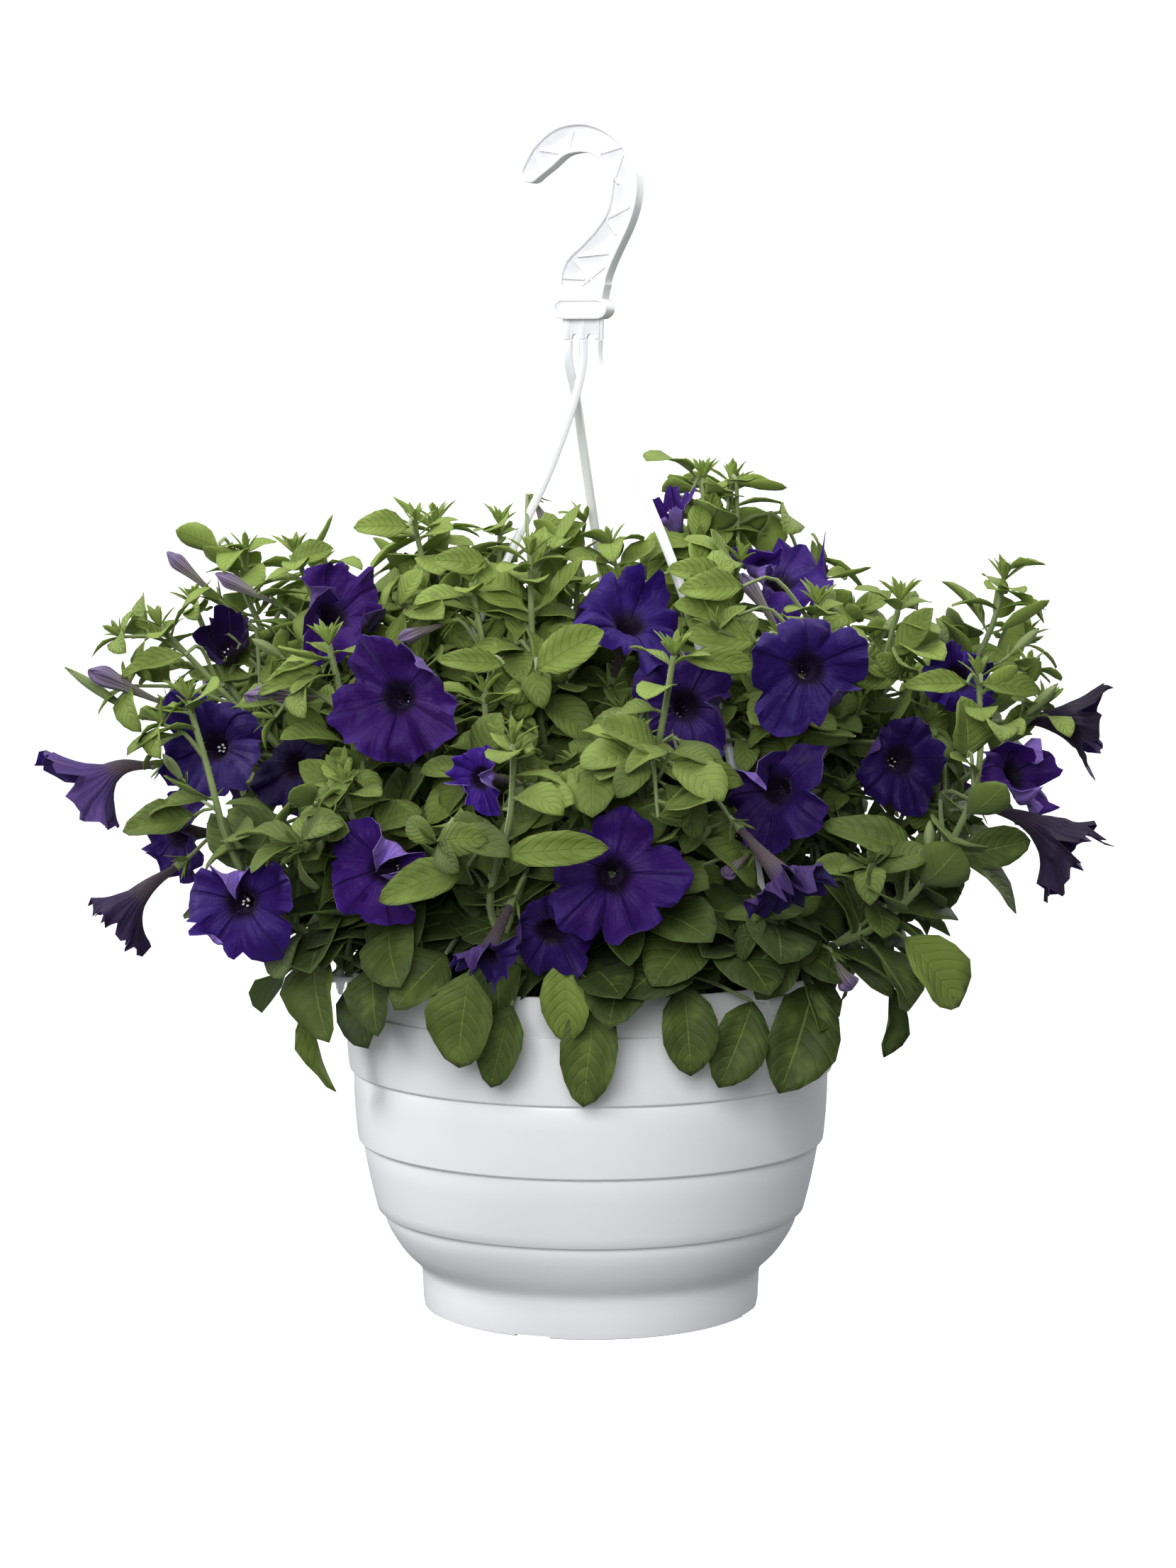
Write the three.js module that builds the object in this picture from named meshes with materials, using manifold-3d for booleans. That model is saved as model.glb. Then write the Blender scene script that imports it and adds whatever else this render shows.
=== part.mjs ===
// A petunia in a hanging pot: moulded hook and straps, stepped pot, soil, leafy shoots and flowers.
// Millimetres, +Z up. The origin is the hook's seat: the top of its inner curve, where it hangs.

import * as THREE from 'three';
import { mergeVertices } from 'three/addons/utils/BufferGeometryUtils.js';
import Module from 'manifold-3d';

const wasm = await Module();
wasm.setup();

// Driving dimensions
const GAP = 0.3; // clearance that neighbouring pieces keep
const ROUND = 28; // sides of the pot and of the soil in it
const RIM_Z = -411; // top of the pot's rim
const AXIS_X = 3.8; // the pot's axis hangs this far to the right of the hook's seat
const SOIL_DEPTH = 13; // soil surface below the rim
const WALL = 2;

// Pot, outside, as [radius, depth below the rim], from the foot up
const FOOT = [[84.6, 178], [86.2, 176.6], [87.0, 165], [87.2, 159.5]];
const BOWL = [[89.6, 154.6], [96, 148.4], [101.4, 140.9], [106.4, 130]];
const BAND_3 = [[109.4, 126.6], [112.4, 116], [117.3, 93.2]];
const BAND_2 = [[119.8, 89.4], [121.2, 76], [121.7, 55.6]];
const BAND_1 = [[124.3, 52.2], [126, 30], [126.6, 20]];
const COLLAR = [[125.3, 18.6], [125.3, 0.8], [124.6, 0]];
// Pot, inside, from the rim down
const INSIDE = [
  [123.4, 0], [123.2, 20], [121.6, 48], [119.2, 55], [117.4, 86], [114.6, 93], [109.0, 120.5],
  [104, 128.5], [98, 138], [84, 160.5],
];
const FLOOR = 160.5; // top of the pot's floor
const FOOT_RING = 2.2;
const DRAIN_HOLES = { count: 6, circle: 58, radius: 3.5 };
const FOOT_NOTCHES = { count: 4, width: 18, height: 1.2, first: 70 };

// Ears on the rim and the barbed strap ends that hold in them
const EAR = { reach: 136, width: 16, thick: 2.6, depth: 3, slot: [5.2, 4.8] };
const STRAP = { width: 4.4, thick: 4, radius: 130.4 };
const BARB = { width: 8, thick: 4.4, height: 7 };
const STRAP_TOP = -94;
// Compass angle of each ear, from +X towards +Y, where its strap leaves the plate, and the
// strap's bow, as [distance from the pot's axis, z], from under the plate to near the rim
const STRAPS = [
  {
    name: 'strap_left',
    angle: 193,
    start: 0,
    bow: [[4, -122], [18, -159], [41, -205], [63, -249], [98, -315], [119, -364], [129, -397]],
  },
  {
    name: 'strap_rear',
    angle: 73,
    start: -8.2,
    bow: [[9, -120], [23, -157], [41, -203], [65, -252], [98, -316], [119, -364], [129, -397]],
  },
  {
    name: 'strap_right',
    angle: -47,
    start: 8.2,
    bow: [[8, -118], [26, -155], [56, -204], [79, -250], [106, -316], [122, -364], [129, -397]],
  },
];

// Hook, as [across, z, half width] along its middle, from the tip down to the bar
const HOOK = {
  turn: -22,
  thick: 10,
  border: 2.2,
  recess: 2.4,
  line: [
    [-27.6, -9.2, 5.6], [-20.6, -1.5, 7.7], [-11.2, 5.8, 7.9], [0, 7.8, 7.8], [10.2, 5.2, 7.4],
    [18.9, -2.2, 7.3], [23.4, -12.7, 7.4], [23, -22.6, 7.6], [19.9, -33.2, 7.5],
    [14, -43.2, 8.4], [7.4, -52.5, 10.4], [1.6, -61.8, 13], [0, -74, 11.9],
  ],
  // Ribs over the panels, each from one [across, z] to another
  ribs: [
    [-24.5, -0.5, -21.7, -10.1], [-22.4, 1.7, -11.8, -0.2], [-4, 10.5, -6.6, 1.1],
    [-0.5, 9.9, 4.1, 0.4], [9.3, -1.2, 22, 2.1], [22.8, -1.9, 18.3, -14.3],
    [16.4, -10.3, 20.6, -16.2], [14, -33.5, 27, -27.3], [14, -33.5, 19.2, -41.4],
    [-1.9, -51.9, 15.4, -50.6], [-3.3, -53.7, 9.3, -67.8], [16, -55, -6.8, -72],
    [-9.7, -62.6, 2.3, -63.3],
  ],
};
const BAR = { width: 30, height: 10.8, z: -78, thick: 12 };
const PLATE = { width: 22, thick: 2.4, rib: [3.8, 4.2], top: -82 };

// Plant
const STEM_R = 1.5;
const STALK_R = 1.1;
const GOLDEN_ANGLE = 137.5;
const LEAF_RATIO = 0.64; // width of a leaf over its length
const CALYX = 9;

// Every point of the plant is [x, y, height above the rim]. A shoot stands in the soil at a
// distance "root" from the axis, on the side that its path sets out to, and may fork once.
// A bloom has its face's centre, the way it faces as [turn from the front, lift], the radius of
// its rim and the length of its tube, and hangs on the shoot at a fraction of its path.
// A rim leaf runs from its blade's base to its tip, on a stalk from the shoot.
const SHOOTS = [
  {
    root: 70, path: [[-105, 2, 62], [-160, -8, 112], [-222, -20, 178]],
    fork: { at: 0.62, path: [[-185, 15, 140], [-207, 22, 188]] },
    blooms: [
      { at: 0.6, face: [-262, -22, 92], facing: [-78, -14], radius: 21, length: 42 },
      { at: 0.45, face: [-212, -34, 70], facing: [-40, 5], radius: 24, length: 34 },
    ],
  },
  {
    root: 82, path: [[-128, -66, 14], [-172, -100, 62], [-186, -100, 108], [-198, -92, 148]],
    blooms: [
      { at: 0.5, face: [-238, -74, 30], facing: [-74, -38], radius: 18, length: 44 },
      { at: 0.3, face: [-170, -128, 48], facing: [-12, 10], radius: 31, length: 34 },
    ],
    rimLeaves: [
      { at: 0.16, base: [-138, -78, 16], tip: [-134, -108, -22], width: 33 },
      { at: 0.1, base: [-143, -52, -14], tip: [-134, -56, -62], width: 14 },
    ],
  },
  {
    root: 58, path: [[-112, 32, 84], [-166, 36, 160], [-188, 36, 208]],
    blooms: [
      { at: 0.5, face: [-189, -64, 118], facing: [-22, 16], radius: 29, length: 36 },
      { at: 0.75, face: [-186, -6, 168], facing: [0, 30], radius: 22, length: 34 },
    ],
  },
  {
    root: 38, path: [[-92, -2, 96], [-128, -14, 160], [-150, -36, 216]],
    fork: { at: 0.45, path: [[-128, 34, 160], [-144, 58, 206]] },
    blooms: [{ at: 0.8, face: [-126, -54, 185], facing: [30, 44], radius: 27, length: 34 }],
  },
  {
    root: 74, path: [[-84, -86, 46], [-112, -100, 110], [-128, -106, 176]],
    fork: { at: 0.42, path: [[-112, -132, 84], [-118, -148, 110]] },
    blooms: [
      { at: 0.7, face: [-94, -134, 147], facing: [-14, 8], radius: 32, length: 36 },
      { at: 0.25, face: [-100, -152, 67], facing: [-18, 6], radius: 29, length: 36 },
      { at: 0.55, face: [-150, -48, 106], facing: [-20, 12], radius: 23, length: 32 },
    ],
    rimLeaves: [
      { at: 0.14, base: [-106, -112, 14], tip: [-106, -136, -14], width: 27 },
      { at: 0.1, base: [-70, -128, 22], tip: [-94, -150, 2], width: 30 },
    ],
  },
  {
    root: 24, path: [[-52, -6, 92], [-76, -14, 170], [-90, -20, 230]],
    fork: { at: 0.6, path: [[-78, 16, 190], [-80, 30, 230]] },
  },
  {
    root: 36, path: [[-36, -40, 92], [-52, -56, 160], [-60, -62, 204]],
    fork: { at: 0.35, path: [[-46, -10, 170], [-46, 2, 230]] },
  },
  {
    root: 62, path: [[-44, -84, 60], [-50, -98, 112], [-52, -98, 152]],
    blooms: [{ at: 0.5, face: [-54, -152, 110], facing: [-30, 10], radius: 15, length: 36 }],
  },
  {
    root: 20, path: [[-18, -44, 84], [-28, -66, 155], [-30, -66, 218]],
    fork: { at: 0.4, path: [[-10, 10, 150], [-5, 36, 214]] },
  },
  {
    root: 46, path: [[14, -52, 84], [16, -44, 150], [14, -34, 200]],
    fork: { at: 0.45, path: [[48, -38, 149], [77, -50, 213]] },
    blooms: [{ at: 0.72, face: [20, -94, 184], facing: [20, 52], radius: 29, length: 42 }],
  },
  {
    root: 14, path: [[36, 6, 110], [56, 14, 200], [58, 20, 254]],
    fork: { at: 0.78, path: [[70, 34, 226], [74, 44, 250]] },
    blooms: [{ at: 0.8, face: [38, -2, 240], facing: [-30, 60], radius: 12, length: 30 }],
  },
  {
    root: 40, path: [[80, 12, 104], [108, 8, 168], [122, 2, 210]],
    blooms: [{ at: 0.75, face: [96, -14, 202], facing: [10, 64], radius: 33, length: 36 }],
  },
  {
    root: 56, path: [[84, -46, 78], [104, -70, 142], [112, -80, 194]],
    fork: { at: 0.42, path: [[138, -50, 140], [156, -46, 194]] },
    blooms: [
      { at: 0.78, face: [104, -136, 162], facing: [4, 14], radius: 32, length: 36 },
      { at: 0.45, face: [153, -82, 112], facing: [10, 10], radius: 24, length: 34 },
    ],
  },
  {
    root: 58, path: [[124, 12, 84], [186, -2, 140], [204, -4, 172], [212, 0, 202]],
    fork: { at: 0.58, path: [[208, 26, 140], [228, 26, 170]] },
    blooms: [{ at: 0.75, face: [186, -36, 150], facing: [20, 20], radius: 20, length: 32 }],
  },
  {
    root: 84, path: [[104, -76, 14], [146, -108, 38], [186, -100, 96], [190, -82, 158]],
    blooms: [
      { at: 0.62, face: [234, -82, 72], facing: [70, -20], radius: 25, length: 42 },
      { at: 0.72, face: [214, -66, 105], facing: [50, 24], radius: 24, length: 34 },
    ],
    rimLeaves: [
      { at: 0.36, base: [152, -116, 28], tip: [186, -110, -6], width: 32 },
      { at: 0.28, base: [142, -86, 18], tip: [166, -70, -16], width: 22 },
      { at: 0.2, base: [150, -62, -4], tip: [152, -62, -42], width: 15 },
      { at: 0.18, base: [108, -106, 4], tip: [96, -134, -44], width: 40 },
    ],
  },
  {
    root: 78, path: [[140, -30, 60], [196, -44, 106], [230, -50, 140]],
    blooms: [{ at: 0.85, face: [256, -44, 128], facing: [78, 2], radius: 19, length: 42 }],
  },
  {
    root: 88, path: [[-34, -122, 18], [-48, -152, 48], [-38, -166, 92], [-36, -172, 134]],
    blooms: [
      { at: 0.4, face: [-50, -192, 28], facing: [-26, -40], radius: 15, length: 36 },
      { at: 0.3, face: [-20, -160, 34], facing: [-10, -25], radius: 22, length: 32 },
    ],
    rimLeaves: [
      { at: 0.22, base: [-58, -146, 16], tip: [-66, -150, -32], width: 36 },
      { at: 0.16, base: [-38, -136, -2], tip: [-50, -142, -42], width: 25 },
      { at: 0.14, base: [2, -138, 4], tip: [-4, -146, -52], width: 30 },
      { at: 0.2, base: [-12, -146, 24], tip: [-12, -150, -20], width: 26 },
    ],
  },
  {
    root: 84, path: [[18, -112, 22], [22, -140, 84], [32, -150, 126], [40, -152, 174]],
    fork: { at: 0.62, path: [[20, -158, 122], [22, -160, 134]] },
    blooms: [
      { at: 0.3, face: [10, -176, 66], facing: [0, 6], radius: 34, length: 36 },
      { at: 0.55, face: [47, -112, 143], facing: [10, 20], radius: 31, length: 36 },
      { at: 0.5, face: [87, -122, 101], facing: [-28, 6], radius: 27, length: 34 },
      { at: 0.42, face: [94, -172, 60], facing: [40, -34], radius: 20, length: 44 },
    ],
    rimLeaves: [
      { at: 0.2, base: [44, -132, 8], tip: [50, -142, -36], width: 30 },
      { at: 0.16, base: [78, -122, -2], tip: [64, -138, -42], width: 30 },
    ],
  },
  {
    root: 60, path: [[100, 62, 70], [150, 84, 110], [186, 96, 140]],
    fork: { at: 0.5, path: [[140, 56, 130], [166, 50, 164]] },
    blooms: [{ at: 0.7, face: [184, 110, 92], facing: [128, 10], radius: 30, length: 36 }],
  },
  {
    root: 62, path: [[62, 96, 70], [96, 140, 110], [112, 168, 138]],
    fork: { at: 0.5, path: [[66, 136, 140], [62, 150, 176]] },
    blooms: [{ at: 0.62, face: [76, 176, 84], facing: [160, 8], radius: 31, length: 36 }],
    rimLeaves: [{ at: 0.14, base: [92, 104, 6], tip: [100, 116, -38], width: 32 }],
  },
  {
    root: 56, path: [[2, 100, 80], [6, 150, 120], [10, 184, 140]],
    fork: { at: 0.45, path: [[-8, 110, 140], [-4, 110, 190]] },
    rimLeaves: [{ at: 0.12, base: [-10, 138, 6], tip: [-14, 152, -40], width: 34 }],
  },
  {
    root: 60, path: [[-56, 96, 70], [-92, 142, 106], [-112, 164, 132]],
    fork: { at: 0.5, path: [[-62, 128, 144], [-66, 136, 184]] },
    blooms: [{ at: 0.6, face: [-58, 182, 80], facing: [190, 8], radius: 31, length: 36 }],
    rimLeaves: [{ at: 0.12, base: [-86, 112, 4], tip: [-92, 124, -40], width: 32 }],
  },
  {
    root: 62, path: [[-106, 66, 64], [-158, 88, 104], [-194, 96, 134]],
    fork: { at: 0.5, path: [[-140, 76, 130], [-150, 84, 174]] },
    blooms: [{ at: 0.7, face: [-176, 132, 88], facing: [222, 10], radius: 30, length: 36 }],
  },
];

// Solids --------------------------------------------------------------------

function toSolid(geometry) {
  geometry.deleteAttribute('normal');
  geometry.deleteAttribute('uv');
  const merged = mergeVertices(geometry, 1e-4);
  const corners = merged.index.array;
  const triVerts = [];
  for (let i = 0; i < corners.length; i += 3) {
    const [a, b, c] = corners.slice(i, i + 3);
    if (a !== b && b !== c && c !== a) triVerts.push(a, b, c);
  }
  const vertProperties = Float32Array.from(merged.attributes.position.array);
  return new wasm.Manifold(
    new wasm.Mesh({ numProp: 3, vertProperties, triVerts: Uint32Array.from(triVerts) }),
  );
}

function toGeometry(solid) {
  const mesh = solid.getMesh();
  const geometry = new THREE.BufferGeometry();
  geometry.setAttribute('position', new THREE.BufferAttribute(mesh.vertProperties, 3));
  geometry.setIndex(new THREE.BufferAttribute(mesh.triVerts, 1));
  geometry.computeVertexNormals();
  return geometry;
}

function union(solids) {
  return solids.reduce((all, solid) => all.add(solid));
}

// The body of a cut solid that holds most of it.
function largest(solid) {
  const bodies = solid.decompose();
  return bodies.reduce((best, body) => (body.volume() > best.volume() ? body : best));
}

function boxesMeet(a, b) {
  return [0, 1, 2].every((k) => a.min[k] - GAP < b.max[k] && b.min[k] - GAP < a.max[k]);
}

function lathe(profile, sides) {
  const points = profile.map(([radius, z]) => new THREE.Vector2(radius, z));
  return new THREE.LatheGeometry(points, sides).rotateX(Math.PI / 2);
}

function box(width, length, height, centre) {
  return new THREE.BoxGeometry(width, length, height).translate(...centre);
}

// A tube of even section along a curve.
function tube(curve, radius, sides, steps) {
  const section = [];
  for (let i = 0; i < sides; i += 1) {
    const angle = (2 * Math.PI * i) / sides;
    section.push(new THREE.Vector2(radius * Math.cos(angle), radius * Math.sin(angle)));
  }
  return new THREE.ExtrudeGeometry(new THREE.Shape(section), {
    steps, extrudePath: curve, bevelEnabled: false,
  });
}

function radians(degrees) {
  return (degrees * Math.PI) / 180;
}

// Pot and soil ----------------------------------------------------------------

const belowRim = ([radius, depth]) => [radius, RIM_Z - depth];

function pot() {
  const ring = FOOT[0][0] - FOOT_RING;
  const outside = [...FOOT, ...BOWL, ...BAND_3, ...BAND_2, ...BAND_1, ...COLLAR];
  const underside = [[0, FLOOR + WALL], [ring, FLOOR + WALL], [ring, FOOT[0][1]]];
  const profile = [...underside, ...outside, ...INSIDE, [0, FLOOR]].map(belowRim);
  let shell = toSolid(lathe(profile, ROUND));
  for (let i = 0; i < DRAIN_HOLES.count; i += 1) {
    const angle = (2 * Math.PI * i) / DRAIN_HOLES.count;
    const hole = new THREE.CylinderGeometry(DRAIN_HOLES.radius, DRAIN_HOLES.radius, 8 * WALL, 10);
    hole.rotateX(Math.PI / 2).translate(DRAIN_HOLES.circle, 0, RIM_Z - FLOOR - WALL / 2);
    shell = shell.subtract(toSolid(hole.rotateZ(angle)));
  }
  for (let i = 0; i < FOOT_NOTCHES.count; i += 1) {
    const angle = radians(FOOT_NOTCHES.first + (360 * i) / FOOT_NOTCHES.count);
    const middle = [FOOT[0][0], 0, RIM_Z - FOOT[0][1] + FOOT_NOTCHES.height / 2 - 1];
    const notch = box(12, FOOT_NOTCHES.width, FOOT_NOTCHES.height + 2, middle);
    shell = shell.subtract(toSolid(notch.rotateZ(angle)));
  }
  for (const { angle } of STRAPS) shell = shell.add(ear(radians(angle)));
  return shell;
}

// A lug on the rim with a slot for a strap.
function ear(angle) {
  const inner = COLLAR[0][0] - 1;
  const middle = [(EAR.reach + inner) / 2, 0, RIM_Z - EAR.depth - EAR.thick / 2];
  const lug = box(EAR.reach - inner, EAR.width, EAR.thick, middle);
  const [width, thick] = EAR.slot;
  const slot = box(thick, width, 4 * EAR.thick, [STRAP.radius, 0, middle[2]]);
  return toSolid(lug.rotateZ(angle)).subtract(toSolid(slot.rotateZ(angle)));
}

function soil() {
  const side = INSIDE.filter(([, depth]) => depth > SOIL_DEPTH).reverse();
  const [rimRadius] = INSIDE[0];
  const profile = [
    [0, FLOOR - GAP],
    ...side.map(([radius, depth]) => [radius - 2 * GAP, Math.min(depth, FLOOR - GAP)]),
    [rimRadius - 2 * GAP, SOIL_DEPTH],
    [0, SOIL_DEPTH],
  ];
  return toSolid(lathe(profile.map(belowRim), ROUND));
}

// Hook and straps ---------------------------------------------------------------

// The outline of a band along a middle line, its half widths made smaller by an inset.
function bandOutline(line, inset) {
  const middle = new THREE.CatmullRomCurve3(line.map(([x, z]) => new THREE.Vector3(x, z, 0)));
  const widths = new THREE.CatmullRomCurve3(line.map(([, , w]) => new THREE.Vector3(w, 0, 0)));
  const steps = 2 * (line.length - 1);
  const left = [];
  const right = [];
  for (let i = 0; i <= steps; i += 1) {
    const at = middle.getPoint(i / steps);
    const along = middle.getTangent(i / steps);
    const half = widths.getPoint(i / steps).x - inset;
    left.push(new THREE.Vector2(at.x - along.y * half, at.y + along.x * half));
    right.push(new THREE.Vector2(at.x + along.y * half, at.y - along.x * half));
  }
  const start = middle.getTangent(0);
  const radius = line[0][2] - inset;
  const tip = [30, 60, 90, 120, 150].map((turn) => {
    const angle = Math.atan2(start.y, start.x) + radians(90 + turn);
    const x = line[0][0] + radius * Math.cos(angle);
    return new THREE.Vector2(x, line[0][1] + radius * Math.sin(angle));
  });
  return [...right.reverse(), ...tip.reverse(), ...left];
}

// An outline in the hook's plane, given thickness about that plane.
function plateSolid(outline, thick, offset = 0) {
  const settings = { depth: thick, bevelEnabled: false };
  const geometry = new THREE.ExtrudeGeometry(new THREE.Shape(outline), settings);
  return toSolid(geometry.translate(0, 0, offset - thick / 2).rotateX(Math.PI / 2));
}

function hookRibs() {
  return union(HOOK.ribs.map(([x0, z0, x1, z1]) => {
    const rib = new THREE.BoxGeometry(Math.hypot(x1 - x0, z1 - z0), HOOK.thick, 1);
    rib.rotateY(-Math.atan2(z1 - z0, x1 - x0));
    return toSolid(rib.translate((x0 + x1) / 2, 0, (z0 + z1) / 2));
  }));
}

function hook() {
  const body = plateSolid(bandOutline(HOOK.line, 0), HOOK.thick);
  const panel = bandOutline(HOOK.line.slice(0, -1), HOOK.border);
  const ribs = hookRibs();
  const offset = HOOK.thick / 2 - HOOK.recess / 2 + 0.5;
  let hanger = body;
  for (const side of [offset, -offset]) {
    hanger = hanger.subtract(plateSolid(panel, HOOK.recess + 1, side).subtract(ribs));
  }
  const bar = new THREE.Shape();
  const end = BAR.width / 2 - BAR.height / 2;
  bar.absarc(end, BAR.z, BAR.height / 2, -Math.PI / 2, Math.PI / 2);
  bar.absarc(-end, BAR.z, BAR.height / 2, Math.PI / 2, (3 * Math.PI) / 2);
  const height = PLATE.top - STRAP_TOP - GAP;
  const middle = PLATE.top - height / 2;
  const plate = box(PLATE.width, PLATE.thick, height, [0, 0, middle]);
  const ribsBelow = STRAPS.map(({ start }) => {
    return toSolid(box(PLATE.rib[0], PLATE.rib[1], height, [start, 0, middle]));
  });
  const pieces = [hanger, plateSolid(bar.getPoints(5), BAR.thick), toSolid(plate), ...ribsBelow];
  return union(pieces).simplify(SMOOTHING / 2);
}

// The line of a strap, from the hook's plate to its ear, measured from the pot's axis.
function strapCurve({ angle, start, bow }) {
  const turn = radians(angle);
  const across = radians(HOOK.turn);
  const above = [[0, STRAP_TOP], [0, STRAP_TOP - 10]];
  const below = [[STRAP.radius, RIM_Z - 2], [STRAP.radius, RIM_Z - 10]];
  const points = [...above, ...bow, ...below].map(([radius, z]) => {
    const rest = 1 - radius / STRAP.radius;
    const x = radius * Math.cos(turn) + rest * (start * Math.cos(across) - AXIS_X);
    return new THREE.Vector3(x, radius * Math.sin(turn) + rest * start * Math.sin(across), z);
  });
  return new THREE.CatmullRomCurve3(points);
}

// A strap: at every step its wide side stays level and square to the way it runs out.
function strap(settings, grow = 0) {
  const curve = strapCurve(settings);
  const turn = radians(settings.angle);
  const wide = new THREE.Vector3(-Math.sin(turn), Math.cos(turn), 0);
  const steps = 26;
  const positions = [];
  const index = [];
  for (let i = 0; i <= steps; i += 1) {
    const at = curve.getPoint(i / steps);
    const along = curve.getTangent(i / steps);
    const thin = new THREE.Vector3().crossVectors(along, wide).normalize();
    const side = new THREE.Vector3().crossVectors(thin, along).normalize();
    for (const [u, v] of [[-1, -1], [1, -1], [1, 1], [-1, 1]]) {
      const corner = at.clone().addScaledVector(side, (u * (STRAP.width + grow)) / 2);
      positions.push(...corner.addScaledVector(thin, (v * (STRAP.thick + grow)) / 2));
    }
    if (i < steps) {
      for (let k = 0; k < 4; k += 1) {
        const [a, b] = [4 * i + k, 4 * i + ((k + 1) % 4)];
        index.push(a, b, b + 4, a, b + 4, a + 4);
      }
    }
  }
  const last = 4 * steps;
  index.push(0, 2, 1, 0, 3, 2, last, last + 1, last + 2, last, last + 2, last + 3);
  const geometry = new THREE.BufferGeometry();
  geometry.setAttribute('position', new THREE.Float32BufferAttribute(positions, 3));
  geometry.setIndex(index);
  const barbTop = RIM_Z - EAR.depth - EAR.thick - GAP;
  const barb = new THREE.CylinderGeometry(BARB.thick / Math.SQRT2, 1, BARB.height, 4);
  barb.rotateY(Math.PI / 4).scale(1, 1, BARB.width / BARB.thick).rotateX(Math.PI / 2);
  barb.rotateZ(turn + Math.PI).translate(0, 0, barbTop - BARB.height / 2);
  barb.translate(STRAP.radius * Math.cos(turn), STRAP.radius * Math.sin(turn), 0);
  return toSolid(geometry).add(toSolid(barb));
}

// Plant ---------------------------------------------------------------------------

const STEM = { radius: STEM_R, sides: 4, steps: 6 };
const STALK = { radius: STALK_R, sides: 3, steps: 3 };
const LEAF = { first: 0.3, step: 43, longest: 48, shortest: 27, lean: 62, droop: 38 };
const ROSETTE = { points: 4, reach: 13, rise: 11, notch: 3.4 };
const SMOOTHING = 0.12; // how far joining the pieces of a shoot may move its surface
const LEAF_TURNS = [0, 40, -40, 80, -80, 125];

const aboveRim = ([x, y, height]) => new THREE.Vector3(x, y, RIM_Z + height);

function curveThrough(points) {
  return new THREE.CatmullRomCurve3(points, false, 'centripetal');
}

// The way a flower faces: its turn from the front and its lift above level.
function facingVector([turn, lift]) {
  const level = Math.cos(radians(lift));
  const across = Math.sin(radians(turn)) * level;
  return new THREE.Vector3(across, -Math.cos(radians(turn)) * level, Math.sin(radians(lift)));
}

function stemCurves({ root, path, fork }) {
  const base = new THREE.Vector3(path[0][0], path[0][1], 0).setLength(root);
  base.z = RIM_Z - SOIL_DEPTH + 2 * GAP;
  const main = curveThrough([base, base.clone().setZ(base.z + 12), ...path.map(aboveRim)]);
  if (!fork) return [main];
  return [main, curveThrough([main.getPointAt(fork.at), ...fork.path.map(aboveRim)])];
}

// A flower's stalk leaves the stem and comes in along the flower's own axis.
function stalkCurve(stem, bloom) {
  const way = facingVector(bloom.facing);
  const start = stem.getPointAt(bloom.at);
  const end = aboveRim(bloom.face).addScaledVector(way, -bloom.length - CALYX - GAP);
  const reach = Math.min(14, 0.4 * start.distanceTo(end));
  return curveThrough([start, end.clone().addScaledVector(way, -reach), end]);
}

function petioleCurve(stem, leaf) {
  const start = stem.getPointAt(leaf.at);
  const end = aboveRim(leaf.base);
  const crest = start.clone().lerp(end, 0.6);
  crest.z = Math.max(crest.z, end.z, RIM_Z + 4) + 4;
  return curveThrough([start, crest, end]);
}

function strand(curve, { radius, sides, steps }, grow = 0) {
  return toSolid(tube(curve, radius + grow, sides, steps));
}

// A solid made about the Z axis, stood at a point along a direction.
function standing(geometry, at, way) {
  const turn = new THREE.Quaternion().setFromUnitVectors(new THREE.Vector3(0, 0, 1), way);
  return toSolid(geometry.applyQuaternion(turn).translate(at.x, at.y, at.z));
}

function calyx(bloom) {
  const way = facingVector(bloom.facing);
  const at = aboveRim(bloom.face).addScaledVector(way, -bloom.length - CALYX / 2 - GAP);
  const cup = new THREE.CylinderGeometry(3.2, STALK_R, CALYX + 0.4, 5).rotateX(Math.PI / 2);
  return standing(cup.translate(0, 0, -0.2), at, way);
}

// A trumpet: a thin tube that opens into a wide rim of five lobes.
function flower({ face, facing, radius, length }) {
  const profile = [
    [0, 0], [2, 0.4], [5.8, 0.8 * length], [0.6 * radius, 0.96 * length],
    [radius, length], [0.6 * radius, 0.96 * length + 1.2], [4.6, 0.83 * length], [0, 0.4 * length],
  ];
  const geometry = lathe(profile, 10);
  const position = geometry.attributes.position;
  for (let i = 0; i < position.count; i += 1) {
    const [x, y] = [position.getX(i), position.getY(i)];
    if (Math.hypot(x, y) > 0.8 * radius) {
      const lobe = 1 + 0.08 * Math.cos(5 * Math.atan2(y, x));
      position.setXY(i, x * lobe, y * lobe);
    }
  }
  const way = facingVector(facing);
  return standing(geometry, aboveRim(face).addScaledVector(way, -length), way);
}

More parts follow.
